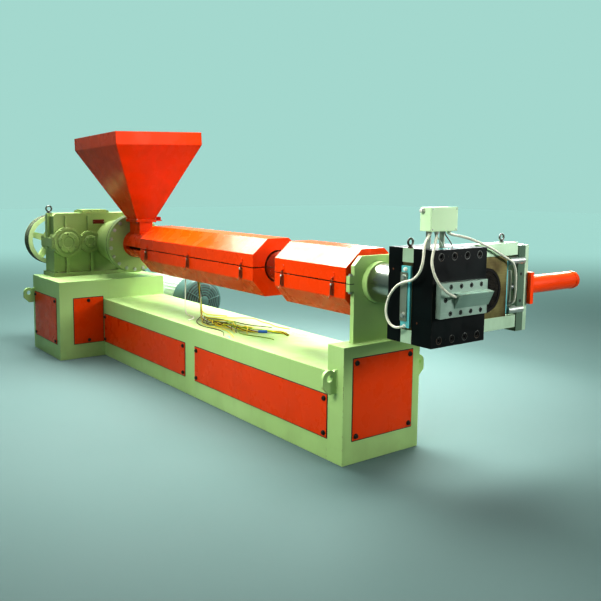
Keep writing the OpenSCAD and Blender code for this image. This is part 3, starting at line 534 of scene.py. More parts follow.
@dataclass(frozen=True)
class Steel:
    """Bare steel with cutting lines, a heat or oil tint in clouds, and rust at edges and in spots."""

    name: str
    colour: Colour
    tint: Colour
    grain: Grain = Grain.PLAIN
    rough: float = 0.26
    rust: float = 0.66
    rust_colour: Colour = (0.16, 0.075, 0.025)
    lines: float = 0.00012
    metal: float = 1.0
    mark: float = 0.4

    def material(self) -> Material:
        """Lines by stretched noise in both the bump and the roughness; tint and rust by soft noise.

        Returns:
            The node material.
        """
        g = Graph(self.name)
        lines = g.noise(1.0, 4, g.stretched(self.grain.value))
        tone = g.mix(g.grade(g.noise(6, 4), 0.38, 0.7), self.colour, self.tint)
        tone = g.mix(g.grade(lines, 0.3, 0.75, 0, self.mark), tone, self.tint)
        spots = g.grade(g.noise(38, 7), self.rust, self.rust + 0.08)
        edge = g.calc("MULTIPLY", g.edges(0.004), g.grade(g.noise(16, 4), 0.5, 0.64))
        stain = g.calc("MAXIMUM", spots, edge)
        tone = g.mix(stain, tone, self.rust_colour)
        rough = g.calc("ADD", g.grade(lines, 0.25, 0.75, self.rough, self.rough + 0.4 * self.mark),
                       g.calc("MULTIPLY", stain, 0.35))
        metal = g.grade(stain, 0.0, 1.0, self.metal, 0.25 * self.metal)
        normal = g.bump(lines, self.lines, g.rounded(0.0015))
        return g.done(Base_Color=tone, Roughness=rough, Metallic=metal, Normal=normal)


@dataclass(frozen=True)
class Oxide:
    """Black oxide on milled steel: blue-black clouds, oily sheen, brown and bright rubbing at edges."""

    name: str
    colour: Colour = (0.0016, 0.0030, 0.0028)
    cloud: Colour = (0.0036, 0.0085, 0.0078)
    worn: Colour = (0.040, 0.033, 0.022)
    rough: float = 0.36

    def material(self) -> Material:
        """Clouds by soft noise, faint milling lines in the bump, and rubbed edges.

        Returns:
            The node material.
        """
        g = Graph(self.name)
        lines = g.noise(1.0, 4, g.stretched((60, 9, 240)))
        tone = g.mix(g.grade(g.noise(5, 6), 0.4, 0.68), self.colour, self.cloud)
        rub = g.calc("MULTIPLY", g.edges(0.005), g.grade(g.noise(24, 5), 0.42, 0.6))
        spots = g.grade(g.noise(46, 8), 0.70, 0.77, 0, 0.7)
        tone = g.mix(g.calc("MAXIMUM", rub, spots), tone, self.worn)
        rough = g.grade(g.noise(13, 5), 0.3, 0.7, self.rough, self.rough + 0.2)
        normal = g.bump(lines, 0.00012, g.rounded(0.002))
        return g.done(Base_Color=tone, Roughness=rough, Normal=normal, Specular_IOR_Level=0.14)


@dataclass(frozen=True)
class Board:
    """Matt fibre board or plastic: speckled, with a soft bump."""

    name: str
    colour: Colour
    fleck: Colour
    rough: float = 0.55
    grit: float = 160.0
    depth: float = 0.0003

    def material(self) -> Material:
        """Flecks by fine noise over broad tone drift.

        Returns:
            The node material.
        """
        g = Graph(self.name)
        tone = g.mix(g.grade(g.noise(self.grit, 5), 0.5, 0.7, 0, 0.6), self.colour, self.fleck)
        tone = g.mix(g.grade(g.noise(11, 4), 0.45, 0.7, 0, 0.5), tone, self.fleck)
        rough = g.grade(g.noise(26, 4), 0.3, 0.7, self.rough - 0.1, self.rough + 0.15)
        return g.done(Base_Color=tone, Roughness=rough, Normal=g.bump(g.noise(self.grit, 4), self.depth))


@dataclass(frozen=True)
class Braid:
    """A woven glass sleeve: two crossing sets of yarns round the cord, by its own UV."""

    name: str
    colour: Colour = (0.88, 0.88, 0.74)
    dark: Colour = (0.60, 0.58, 0.42)
    yarns: float = 8.0
    pitch: float = 95.0

    def material(self) -> Material:
        """The height is the greater of two slanting waves; the valleys are darker as painted shade, with
        heat marks.

        Returns:
            The node material.
        """
        g = Graph(self.name)
        parts = g.add("SeparateXYZ", {"Vector": g.uv})
        across = g.calc("MULTIPLY", parts.outputs["X"], 2 * math.pi * self.yarns)
        along = g.calc("MULTIPLY", parts.outputs["Y"], 2 * math.pi * self.pitch)
        one = g.calc("SINE", g.calc("ADD", across, along), 0.0)
        other = g.calc("SINE", g.calc("SUBTRACT", across, along), 0.0)
        weave = g.calc("MAXIMUM", one, other)
        # darker valleys between the yarns: painted shade
        tone = g.mix(g.grade(weave, -0.2, 0.8), self.dark, self.colour)
        tone = g.mix(g.grade(g.noise(21, 5), 0.55, 0.8, 0, 0.5), tone, self.dark)
        return g.done(Base_Color=tone, Roughness=0.8, Normal=g.bump(weave, 0.0007), Sheen_Weight=0.25)


class Paints(Enum):
    """Every finish on the machine, by what it is."""

    GREEN = Enamel("apple_green_enamel", (0.41, 0.575, 0.25), (0.37, 0.53, 0.215), gloss=0.3)
    # the end plate's green paint, darkened as painted shade over its face
    GREEN_IN_PAINTED_SHADE = Enamel("green_enamel_in_painted_shade", (0.13, 0.20, 0.14), (0.09, 0.15, 0.10))
    # the gearbox's green: its own cast tone, darkened further as painted shade over the gearbox
    CAST_GREEN_WITH_SHADE = Enamel("cast_green_enamel_with_painted_shade", (0.32, 0.42, 0.17), (0.26, 0.355, 0.13), peel=0.0011,
                        peel_scale=85.0, gloss=0.3, chips=0.5)
    ORANGE = Enamel("orange_enamel", (0.74, 0.062, 0.0006), (0.68, 0.054, 0.0005), (0.10, 0.03, 0.015),
                    (0.20, 0.10, 0.06), gloss=0.2, waves=0.0006, chips=0.6)
    PANEL = Enamel("panel_orange_enamel", (0.70, 0.062, 0.0006), (0.63, 0.054, 0.0005),
                   (0.09, 0.03, 0.015), (0.20, 0.10, 0.06), gloss=0.22, waves=0.0009, chips=0.6)
    CYLINDER = Enamel("cylinder_orange_enamel", (0.88, 0.075, 0.0008), (0.82, 0.066, 0.0006), gloss=0.3,
                      primer=(0.30, 0.12, 0.06))
    DARK_RED = Enamel("dark_red_enamel", (0.16, 0.012, 0.004), (0.10, 0.008, 0.003), gloss=0.3)
    DARK_ORANGE = Enamel("gate_enamel", (0.62, 0.042, 0.001), (0.52, 0.034, 0.001), gloss=0.26)
    BOX = Enamel("box_enamel", (0.70, 0.90, 0.60), (0.64, 0.84, 0.53), gloss=0.32, chips=0.62)
    MOTOR = Enamel("motor_enamel", (0.80, 0.87, 0.83), (0.70, 0.78, 0.73), gloss=0.34)
    FAN = Enamel("fan_cover_enamel", (0.10, 0.18, 0.16), (0.07, 0.14, 0.12), gloss=0.28)
    PULLEY = Enamel("pulley_enamel", (0.58, 0.70, 0.38), (0.48, 0.60, 0.30),
                    peel=0.0008, peel_scale=90.0, gloss=0.4)
    BARREL = Steel("turned_barrel_steel", (0.50, 0.51, 0.44), (0.34, 0.33, 0.25), Grain.TURNED_X, 0.2,
                   lines=0.00001, mark=0.12)
    HEATER = Steel("dull_heater_sheet", (0.45, 0.44, 0.40), (0.3, 0.27, 0.2), Grain.PLAIN, 0.38)
    ZINC = Steel("zinc_plate", (0.52, 0.57, 0.53), (0.38, 0.42, 0.36), Grain.PLAIN, 0.29, 0.7, metal=0.7)
    LEVER = Steel("brown_lever_steel", (0.34, 0.10, 0.035), (0.20, 0.07, 0.03),
                  Grain.PLAIN, 0.36, 0.64, metal=0.5)
    SLIDE = Steel("heat_tinted_slide", (0.30, 0.27, 0.11), (0.085, 0.060, 0.022), Grain.MILLED_Y, 0.3, 0.7,
                  (0.07, 0.035, 0.012), metal=0.7)
    DIE = Steel("milled_die_steel", (0.36, 0.48, 0.40), (0.26, 0.36, 0.29),
                Grain.MILLED_Y, 0.32, 0.70, metal=0.5)
    PLATE = Steel("milled_plate_steel", (0.52, 0.68, 0.50), (0.42, 0.57, 0.40),
                  Grain.MILLED_Z, 0.34, 0.72, metal=0.35)
    CHROME = Steel("rod_chrome", (0.78, 0.79, 0.78), (0.66, 0.67, 0.66), Grain.TURNED_Y, 0.1, 0.8)
    CLAMP = Steel("dull_clamp_steel", (0.30, 0.35, 0.28), (0.20, 0.23, 0.17),
                  Grain.MILLED_Z, 0.36, 0.69, metal=0.6)
    # dark eyebolt steel, also used for the painted highlights round the head's counterbores
    EYE_AND_HIGHLIGHT = Steel("dark_eyebolt_steel_and_painted_highlight", (0.16, 0.17, 0.16), (0.08, 0.08, 0.07), Grain.PLAIN, 0.34, 0.66)
    OXIDE = Oxide("black_oxide")
    # black oxide screws, also used as painted shade for the plates in the support's splits
    SCREW_AND_SHADE = Oxide("black_screws_and_painted_shade", (0.012, 0.012, 0.011), (0.03, 0.03, 0.027), rough=0.38)
    # sooty dark oxide, also used as painted shade on the feed housing's slot plate
    SCREEN_AND_SHADE = Oxide("sooty_screen_and_painted_shade", (0.008, 0.007, 0.006), (0.02, 0.017, 0.013), rough=0.5)
    # black rubber, also used as painted shade: the panels' shadow gaps, the grille's slots, the head's holes
    # and the box lid's gap
    RUBBER_AND_SHADE = Board("belt_rubber", (0.014, 0.014, 0.014), (0.035, 0.034, 0.032), 0.62)
    TURQUOISE = Board("turquoise_board", (0.10, 0.42, 0.43), (0.20, 0.52, 0.50))
    GLASS = Board("gauge_glass", (0.72, 0.74, 0.66), (0.5, 0.52, 0.4), 0.2)
    SLEEVE = Braid("woven_sleeve")
    YELLOW = Board("yellow_lead", (0.66, 0.55, 0.01), (0.50, 0.40, 0.01), 0.45)
    LIME = Board("green_lead", (0.20, 0.36, 0.02), (0.13, 0.25, 0.01), 0.45)
    BROWN = Board("brown_lead", (0.055, 0.022, 0.006), (0.03, 0.012, 0.004), 0.5)
    WHITE = Board("white_lead", (0.74, 0.74, 0.66), (0.58, 0.57, 0.46), 0.5)
    BLUE_TAPE = Board("blue_tape", (0.02, 0.12, 0.42), (0.015, 0.08, 0.3), 0.35)
    CYAN_TAPE = Board("cyan_tape", (0.10, 0.58, 0.50), (0.08, 0.48, 0.42), 0.4)


Parts = list[tuple[Surface, Paints]]
Finishes = dict[Paints, tuple[str, ...]]


class Workshop:
    """Makes each material once, dresses the CAD nodes and adds pieces."""

    def __init__(self) -> None:
        """Starts with no materials made."""
        self.made: dict[str, Material] = {}

    def material(self, paint: Paints) -> Material:
        """The material of a finish, made on first use.

        Args:
            paint: the finish.

        Returns:
            The node material.
        """
        if paint.name not in self.made:
            self.made[paint.name] = paint.value.material()
        return self.made[paint.name]

    def dress(self, paint: Paints, *nodes: str) -> None:
        """Gives CAD nodes a finish.

        Args:
            paint: the finish.
            nodes: the nodes' names.
        """
        for name in nodes:
            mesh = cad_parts[name].data
            mesh.materials.clear()
            mesh.materials.append(self.material(paint))
            log.info("node %s in %s", name, paint.name)

    def mesh(self, name: str, parts: Parts, smooth: float = SHARP_ANGLE) -> bpy.types.Object:
        """Makes one object of several surfaces, each with its finish.

        Args:
            name: the piece's name.
            parts: surfaces and their finishes.
            smooth: edges sharper than this angle in degrees stay sharp.

        Returns:
            The object, at the origin, riding on nothing yet.
        """
        paints = list(dict.fromkeys(paint for _, paint in parts))
        whole = joined(*(surface for surface, _ in parts))
        mesh = bpy.data.meshes.new(name)
        mesh.from_pydata(whole.points, [], whole.quads.tolist() + [cap.tolist() for cap in whole.caps])
        for paint in paints:
            mesh.materials.append(self.material(paint))
        slots = [np.full(len(s.quads), paints.index(p)) for s, p in parts]
        slots += [np.full(len(s.caps), paints.index(p)) for s, p in parts]
        mesh.polygons.foreach_set("material_index", np.concatenate(slots).astype(np.int32))
        mesh.polygons.foreach_set("use_smooth", np.ones(len(mesh.polygons), bool))
        mesh.set_sharp_from_angle(angle=math.radians(smooth))
        if all(surface.uv is not None for surface, _ in parts):
            layer = mesh.uv_layers.new(name="around_along")
            corners = np.concatenate([surface.uv.reshape(-1, 2) for surface, _ in parts])
            rest = np.zeros((len(mesh.loops) - len(corners), 2))
            layer.data.foreach_set("uv", np.concatenate([corners, rest]).astype(np.float32).ravel())
        mesh.validate()
        piece = bpy.data.objects.new(name, mesh)
        bpy.context.scene.collection.objects.link(piece)
        return piece

    def add(self, name: str, parts: Parts, body: str = "frame", slot: str | None = None,
            smooth: float = SHARP_ANGLE) -> None:
        """Makes a piece that rides on a body.

        Args:
            name: the piece's name.
            parts: surfaces and their finishes.
            body: the body that it rides on.
            slot: not used.
            smooth: edges sharper than this angle in degrees stay sharp.
        """
        piece = self.mesh(name, parts, smooth)
        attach(piece, body)
        log.info("piece %s on %s, %d faces", name, body, len(piece.data.polygons))


# Studio


@dataclass(frozen=True)
class Lamp:
    """A soft rectangular light that the camera doesn't see.

    Args:
        name: what it is called.
        at: where it hangs.
        to: the point that it faces.
        size: its width and height.
        power: its power in watts.
        tone: its colour.
        spread: the width of its beam in degrees.
    """

    name: str
    at: Point
    to: Point
    size: Pair
    power: float
    tone: Colour = (1.0, 1.0, 1.0)
    spread: float = 180.0

    def hang(self) -> None:
        """Adds the light to the scene; its axes are right, up and back."""
        data = bpy.data.lights.new(self.name, "AREA")
        data.shape, data.size, data.size_y = "RECTANGLE", *self.size
        data.energy, data.color, data.spread = self.power, self.tone, math.radians(self.spread)
        lamp = bpy.data.objects.new(self.name, data)
        lamp.visible_camera = False
        bpy.context.scene.collection.objects.link(lamp)
        back = np.array(self.at) - np.array(self.to)
        back /= np.linalg.norm(back)
        right = np.cross([0.0, 0.0, 1.0], back)
        right /= np.linalg.norm(right)
        axes = np.eye(4)
        axes[:3] = np.stack([right, np.cross(back, right), back, self.at], -1)
        lamp.matrix_world = Matrix(axes.tolist())


@dataclass
class Studio:
    """The camera of the photograph's view, a plain pale floor and soft lights."""

    eye: Point = (6.202, -2.875, 1.534)
    azimuth: float = 53.662
    elevation: float = 6.421
    roll: float = 0.524
    sensor: float = 36.0
    lens: float = 43.98
    shift: Pair = (0.0303, -0.0531)
    sight: float = 200.0
    floor_half: float = 40.0
    floor_tone: Colour = (0.09, 0.14, 0.13)
    glow_span: Pair = (-1.0, 11.0)
    glow: float = 0.9
    contrast: float = 0.8
    sky_way: Point = (-0.82, 0.57, 0.0)
    sky_turn: Pair = (0.0, 0.8)
    sky_dim: Colour = (0.13, 0.165, 0.16)
    sky_pale: Colour = (0.45, 0.74, 0.68)
    lamps: tuple[Lamp, ...] = (
        Lamp("overhead", (0.8, 0.8, 4.8), (1.4, 0.3, 0.0), (4.4, 1.8), 520.0, spread=120.0),
        Lamp("operator_side", (3.2, -3.4, 3.2), (2.6, 0.0, 0.5), (2.6, 1.4), 40.0, (1.0, 0.99, 0.95),
             70.0),
        Lamp("hopper_side", (5.2, 0.6, 3.6), (0.3, 0.0, 1.5), (1.6, 1.6), 3.0, spread=55.0),
        Lamp("head_side", (6.6, 2.7, 2.2), (3.75, 0.4, 1.05), (1.4, 1.4), 14.0, spread=44.0),
        Lamp("far_side", (1.4, 2.9, 1.7), (1.6, 0.3, 0.4), (3.0, 0.8), 70.0, spread=120.0),
        Lamp("behind_gearbox", (-3.2, -0.2, 5.9), (2.2, -0.1, 1.1), (3.4, 3.6), 620.0))

    def camera(self) -> None:
        """Points the camera: its axes are right, up and back, rolled about back."""
        a, e, r = (math.radians(x) for x in (self.azimuth, self.elevation, self.roll))
        back = np.array([math.sin(a) * math.cos(e), -math.cos(a) * math.cos(e), math.sin(e)])
        right = np.array([math.cos(a), math.sin(a), 0.0])
        up = np.cross(back, right)
        axes = np.eye(4)
        axes[:3, 0] = right * math.cos(r) + up * math.sin(r)
        axes[:3, 1] = up * math.cos(r) - right * math.sin(r)
        axes[:3, 2], axes[:3, 3] = back, self.eye
        data = bpy.data.cameras.new("camera")
        data.sensor_width, data.lens, data.clip_end = self.sensor, self.lens, self.sight
        data.shift_x, data.shift_y = self.shift
        camera = bpy.data.objects.new("camera", data)
        bpy.context.scene.collection.objects.link(camera)
        camera.matrix_world = Matrix(axes.tolist())
        bpy.context.scene.camera = camera

    def floor(self) -> None:
        """Lays a wide plain floor under the machine, which glows more the farther it is behind it."""
        h = self.floor_half
        ring = np.array([[-h, -h, 0], [h, -h, 0], [h, h, 0], [-h, h, 0]], float)
        mesh = bpy.data.meshes.new("floor")
        mesh.from_pydata(ring, [], [(0, 1, 2, 3)])
        g = Graph("pale_floor")
        tone = g.mix(g.grade(g.noise(0.7, 3), 0.3, 0.7, 0, 0.12), self.floor_tone, self.sky_dim)
        way = g.add("VectorMath", {0: g.place, 1: self.sky_way}, operation="DOT_PRODUCT").outputs["Value"]
        glow = g.grade(way, *self.glow_span, 0.0, self.glow)
        mesh.materials.append(g.done(Base_Color=tone, Roughness=0.7, Specular_IOR_Level=0.1,
                                     Emission_Color=self.sky_pale, Emission_Strength=glow))
        floor = bpy.data.objects.new("floor", mesh)
        bpy.context.scene.collection.objects.link(floor)

    def sky(self) -> None:
        """Sets a sky that is pale behind the machine and dim before it."""
        world = bpy.data.worlds.new("sky")
        bpy.context.scene.world = world
        world.use_nodes = True
        nodes, links = world.node_tree.nodes, world.node_tree.links
        way = nodes.new("ShaderNodeVectorMath")
        way.operation, way.inputs[1].default_value = "DOT_PRODUCT", self.sky_way
        links.new(nodes.new("ShaderNodeTexCoord").outputs["Generated"], way.inputs[0])
        share = nodes.new("ShaderNodeMapRange")
        share.interpolation_type = "SMOOTHSTEP"
        share.inputs["From Min"].default_value, share.inputs["From Max"].default_value = self.sky_turn
        links.new(way.outputs["Value"], share.inputs["Value"])
        tone = nodes.new("ShaderNodeMix")
        tone.data_type = "RGBA"
        tone.inputs[6].default_value = (*self.sky_dim, 1.0)
        tone.inputs[7].default_value = (*self.sky_pale, 1.0)
        links.new(share.outputs[0], tone.inputs[0])
        links.new(tone.outputs[2], nodes["Background"].inputs["Color"])

    def build(self) -> None:
        """Sets up the camera, the floor, the sky and the lights."""
        self.camera()
        self.floor()
        self.sky()
        for lamp in self.lamps:
            lamp.hang()
        bpy.context.scene.view_settings.view_transform = "Standard"
        bpy.context.scene.view_settings.gamma = self.contrast


# Assemblies


def low(node: str, axis: int) -> float:
    """The lowest place of a CAD node along an axis, to a hundredth of a millimetre."""
    return round(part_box(node)[0][axis], 5)


def high(node: str, axis: int) -> float:
    """The highest place of a CAD node along an axis, to a hundredth of a millimetre."""
    return round(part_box(node)[1][axis], 5)


def middle(node: str, axis: int) -> float:
    """The middle of a CAD node along an axis."""
    return round((low(node, axis) + high(node, axis)) / 2, 5)


def half(node: str, axis: int) -> float:
    """Half the size of a CAD node along an axis."""
    return round((high(node, axis) - low(node, axis)) / 2, 5)


@dataclass
class Assembly:
    """A group of the machine's pieces, with the CAD nodes in each finish.

    Args:
        shop: the workshop that makes the pieces.
    """

    shop: Workshop
    finishes: ClassVar[Finishes] = {}

    def trims(self) -> Steps:
        """The methods that add pieces, in order."""
        return ()

    def build(self) -> None:
        """Dresses the CAD nodes, then adds every piece."""
        for paint, nodes in self.finishes.items():
            self.shop.dress(paint, *nodes)
        for trim in self.trims():
            trim()


@dataclass(frozen=True)
class Strand:
    """One bare lead on the bed.

    Args:
        paint: the insulation's finish.
        start: where it parts from the bundle, along X.
        step: its step along X.
        across: its place along Y at each step.
    """

    paint: Paints
    start: float
    step: float
    across: Places

    def line(self, z: float) -> list[Point]:
        """Its points at the height z."""
        return [(self.start + self.step * k, y, z) for k, y in enumerate(self.across)]


@dataclass
class Leads(Assembly):
    """The woven-sleeve leads of the head's heaters and the thermocouple leads on the bed."""

    radius: float = 0.007
    strand: float = 0.0028
    bed_top: float = high("bed", UP)
    sunk: float = 0.0003
    near_bed: float = 0.030
    hump: float = 0.011
    step: float = 0.006
    bundle_d: float = 0.018
    bundle_step: float = 0.009
    wound: float = 0.0030
    lay_radius: float = 0.0060
    turns_a_metre: float = 3.2
    tape_radius: float = 0.0098
    tape_span: tuple[int, int] = (-30, -22)
    scraps: tuple[tuple[float, float, float], ...] = ((2.004, -0.244, 25.0), (2.044, -0.256, -15.0))
    winding: tuple[Paints, ...] = (Paints.YELLOW, Paints.LIME, Paints.WHITE, Paints.BROWN, Paints.YELLOW,
                                   Paints.BROWN)
    core: Paints = Paints.LIME
    laid: list[tuple[Array, float]] = field(default_factory=list)
    left: Route = (
        (3.720, -0.150, 1.320), (3.720, -0.150, 1.302), (3.736, -0.190, 1.276), (3.760, -0.228, 1.240),
        (3.766, -0.238, 1.200), (3.760, -0.240, 1.160), (3.740, -0.240, 1.116), (3.700, -0.240, 1.082),
        (3.650, -0.240, 1.066), (3.600, -0.240, 1.044), (3.555, -0.240, 1.000), (3.528, -0.240, 0.945),
        (3.524, -0.240, 0.885), (3.550, -0.240, 0.842), (3.590, -0.240, 0.828), (3.618, -0.232, 0.832),
        (3.627, -0.212, 0.836))
    die: Route = (
        (3.738, -0.120, 1.320), (3.738, -0.120, 1.300), (3.770, -0.160, 1.278), (3.808, -0.214, 1.236),
        (3.820, -0.238, 1.180), (3.834, -0.236, 1.126), (3.850, -0.212, 1.072), (3.860, -0.172, 1.034),
        (3.860, -0.130, 1.014), (3.852, -0.098, 1.004), (3.828, -0.084, 1.000))
    right: Route = (
        (3.720, -0.010, 1.320), (3.720, -0.010, 1.306), (3.712, 0.040, 1.294), (3.700, 0.110, 1.284),
        (3.692, 0.190, 1.268), (3.688, 0.280, 1.242), (3.686, 0.390, 1.204), (3.684, 0.500, 1.156),
        (3.684, 0.570, 1.122), (3.684, 0.600, 1.074), (3.684, 0.606, 1.010), (3.684, 0.604, 0.945),
        (3.683, 0.597, 0.908), (3.674, 0.590, 0.891), (3.658, 0.585, 0.886))
    bundle: Route = (
        (1.180, 0.000, 0.804), (1.180, 0.000, 0.776), (1.184, 0.004, 0.710), (1.192, 0.008, 0.640),
        (1.215, 0.002, 0.564), (1.262, -0.020, 0.5273), (1.330, -0.060, 0.5193), (1.420, -0.084, 0.5193),
        (1.540, -0.084, 0.5193), (1.660, -0.078, 0.5193), (1.780, -0.074, 0.5193), (1.900, -0.064, 0.5193),
        (2.010, -0.024, 0.5193), (2.080, 0.050, 0.5193), (2.150, 0.110, 0.5193), (2.240, 0.096, 0.5193))
    strays: tuple[Strand, ...] = (
        Strand(Paints.YELLOW, 1.420, 0.0457, (
            -0.100, -0.137, -0.157, -0.168, -0.175, -0.175, -0.168, -0.158, -0.151, -0.153,
            -0.163, -0.177, -0.195, -0.214, -0.235)),
        Strand(Paints.WHITE, 1.380, 0.0656, (
            -0.063, -0.020, 0.006, 0.030, 0.040, 0.048, 0.068, 0.098, 0.122, 0.146,
            0.170, 0.189, 0.201, 0.214, 0.239)),
        Strand(Paints.LIME, 1.600, 0.0307, (
            -0.062, -0.050, -0.038, -0.026, -0.016, -0.010, -0.007, -0.004, 0.006, 0.020,
            0.036, 0.054, 0.073, 0.091, 0.108)),
        Strand(Paints.BROWN, 1.345, 0.0454, (
            -0.084, -0.136, -0.163, -0.183, -0.199, -0.208, -0.210, -0.207, -0.202, -0.195,
            -0.190, -0.196, -0.210, -0.235, -0.262)),
        Strand(Paints.YELLOW, 1.300, 0.0536, (
            -0.026, 0.030, 0.095, 0.168, 0.248, 0.272, 0.264, 0.250, 0.244, 0.248,
            0.240, 0.226, 0.224, 0.236, 0.250)),
        Strand(Paints.LIME, 1.900, 0.0271, (
            -0.082, -0.105, -0.120, -0.128, -0.130, -0.126, -0.119, -0.108, -0.096, -0.085,
            -0.075, -0.067, -0.061, -0.057, -0.055)),
        Strand(Paints.BROWN, 1.335, 0.0432, (
            -0.043, 0.007, 0.028, 0.043, 0.056, 0.067, 0.075, 0.078, 0.081, 0.087,
            0.100, 0.119, 0.142, 0.160, 0.172)),
        Strand(Paints.YELLOW, 1.540, 0.0293, (
            -0.100, -0.109, -0.117, -0.122, -0.125, -0.124, -0.119, -0.113, -0.109, -0.106,
            -0.107, -0.112, -0.124, -0.140, -0.158)),
        Strand(Paints.BROWN, 1.700, 0.0236, (
            -0.064, -0.056, -0.050, -0.046, -0.043, -0.041, -0.038, -0.033, -0.027, -0.018,
            -0.006, 0.010, 0.028, 0.045, 0.060)),
        Strand(Paints.LIME, 1.385, 0.0360, (
            -0.074, -0.052, -0.020, 0.015, 0.034, 0.030, 0.004, -0.034, -0.070, -0.092,
            -0.088, -0.060, -0.022, 0.012, 0.030)),
        Strand(Paints.BROWN, 1.400, 0.0340, (
            -0.076, -0.100, -0.128, -0.146, -0.140, -0.112, -0.074, -0.036, -0.010, -0.004,
            -0.020, -0.052, -0.088, -0.116, -0.130)),
        Strand(Paints.YELLOW, 1.430, 0.0330, (
            -0.078, -0.050, -0.010, 0.026, 0.052, 0.060, 0.046, 0.016, -0.018, -0.046,
            -0.058, -0.048, -0.020, 0.016, 0.046)),
        Strand(Paints.BROWN, 1.460, 0.0350, (
            -0.080, -0.108, -0.134, -0.150, -0.150, -0.132, -0.100, -0.064, -0.036, -0.026,
            -0.038, -0.066, -0.098, -0.124, -0.138)),
        Strand(Paints.LIME, 1.500, 0.0320, (
            -0.082, -0.058, -0.024, 0.010, 0.032, 0.036, 0.020, -0.010, -0.044, -0.070,
            -0.080, -0.070, -0.044, -0.012, 0.014)),
        Strand(Paints.YELLOW, 1.530, 0.0360, (
            -0.080, -0.104, -0.124, -0.132, -0.122, -0.096, -0.060, -0.026, -0.002, 0.006,
            -0.004, -0.028, -0.058, -0.084, -0.100)))
    short: tuple[tuple[Paints, Route], ...] = (
        (Paints.WHITE, (
            (3.705, -0.085, 1.320), (3.705, -0.085, 1.3125), (3.705, -0.085, 1.305), (3.706, -0.083, 1.298),
            (3.7075, -0.080, 1.291), (3.709, -0.076, 1.284), (3.711, -0.072, 1.277), (3.713, -0.068, 1.271),
            (3.715, -0.064, 1.264), (3.717, -0.060, 1.258), (3.719, -0.057, 1.252), (3.720, -0.055, 1.247),
            (3.721, -0.0535, 1.242), (3.7215, -0.0525, 1.237), (3.722, -0.052, 1.231))),
        (Paints.BROWN, (
            (3.735, -0.055, 1.320), (3.735, -0.055, 1.3125), (3.735, -0.055, 1.305), (3.7365, -0.052, 1.298),
            (3.739, -0.047, 1.291), (3.7415, -0.042, 1.284), (3.744, -0.037, 1.277), (3.746, -0.033, 1.271),
            (3.748, -0.029, 1.264), (3.7495, -0.025, 1.258), (3.751, -0.022, 1.252), (3.752, -0.0205, 1.247),
            (3.7525, -0.0195, 1.242), (3.753, -0.0185, 1.237), (3.753, -0.018, 1.231))))
    hanging: tuple[tuple[Paints, float, Route], ...] = (
        (Paints.WHITE, 0.0045, (
            (1.060, -0.050, 0.806), (1.060, -0.050, 0.785), (1.060, -0.051, 0.755), (1.061, -0.052, 0.720),
            (1.062, -0.054, 0.680), (1.064, -0.056, 0.640), (1.067, -0.059, 0.606), (1.072, -0.062, 0.575),
            (1.095, -0.070, 0.533), (1.135, -0.078, 0.5165), (1.190, -0.082, 0.5147),
            (1.250, -0.090, 0.5147), (1.300, -0.115, 0.5147), (1.330, -0.150, 0.5147),
            (1.350, -0.190, 0.5147))),
        (Paints.YELLOW, 0.0028, (
            (1.130, 0.030, 0.806), (1.130, 0.030, 0.785), (1.130, 0.031, 0.750), (1.131, 0.032, 0.710),
            (1.132, 0.034, 0.670), (1.134, 0.036, 0.630), (1.137, 0.039, 0.596), (1.142, 0.042, 0.565),
            (1.151, 0.046, 0.544), (1.165, 0.050, 0.528), (1.200, 0.060, 0.5145), (1.250, 0.085, 0.5130),
            (1.275, 0.102, 0.5130), (1.300, 0.120, 0.5130), (1.360, 0.150, 0.5130))))

    def sleeved(self, name: str, route: Route) -> bpy.types.Object:
        """One sleeved lead along its route.

        Args:
            name: the piece's name.
            route: the points that it follows, from its exit.

        Returns:
            The piece, riding on nothing yet.
        """
        path = smooth_path(list(route), self.step)
        piece = self.shop.mesh(name, [(swept(path, self.radius, 14), Paints.SLEEVE)])
        return piece

    def head_leads(self) -> None:
        """The three leads from the junction box; the die's lead rides on the frame and the other two ride on
        no body.
        """
        die = self.sleeved("sleeve_die", self.die)
        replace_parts(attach(die, "frame"), "lead_die")
        for name, route in (("left", self.left), ("right", self.right)):
            piece = self.sleeved(f"sleeve_{name}", route)
            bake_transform(piece)
            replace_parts(piece, f"lead_{name}")

    def twisted(self) -> None:
        """The taped bundle: strands wound round a core, each at a steadily growing angle on a circle."""
        path = smooth_path(list(self.bundle), self.bundle_step)
        length = length_of(path)
        way = np.gradient(path, axis=0)
        way /= np.linalg.norm(way, axis=1)[:, None]
        side = np.cross(way, [0.1, 0.2, 1.0])
        side /= np.linalg.norm(side, axis=1)[:, None]
        over = np.cross(way, side)
        turn = np.linspace(0, length * 2 * np.pi * self.turns_a_metre, len(path))
        parts = []
        for k, paint in enumerate(self.winding):
            a = (turn + k * 2 * np.pi / len(self.winding))[:, None]
            line = path + self.lay_radius * (np.cos(a) * side + np.sin(a) * over)
            parts.append((swept(line, self.wound, 7), paint))
        parts.append((swept(path, self.wound, 7), self.core))
        piece = self.shop.mesh("thermocouple_strands", parts)
        self.laid.append((path, self.bundle_d))
        first, last = self.tape_span
        taped = smooth_path([tuple(p) for p in path[first:last]], 0.004)
        wrap = self.shop.mesh("blue_tape_wrap", [(swept(taped, self.tape_radius, 16), Paints.BLUE_TAPE)])
        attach(wrap, "frame")
        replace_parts(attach(piece, "frame"), "thermocouple_bundle")

    def loose(self) -> None:
        """Strands that part from the bundle, two that hang from the cover and two at the head."""
        z = self.bed_top + self.strand - self.sunk
        for k, strand in enumerate(self.strays):
            self.stray(f"stray_strand_{k + 1}", strand.paint, strand.line(z), self.strand)
        for k, (paint, radius, line) in enumerate(self.hanging):
            self.stray(f"hanging_strand_{k + 1}", paint, list(line), radius)
        for k, (paint, line) in enumerate(self.short):
            self.stray(f"head_sensor_lead_{k + 1}", paint, list(line), self.strand, "object")

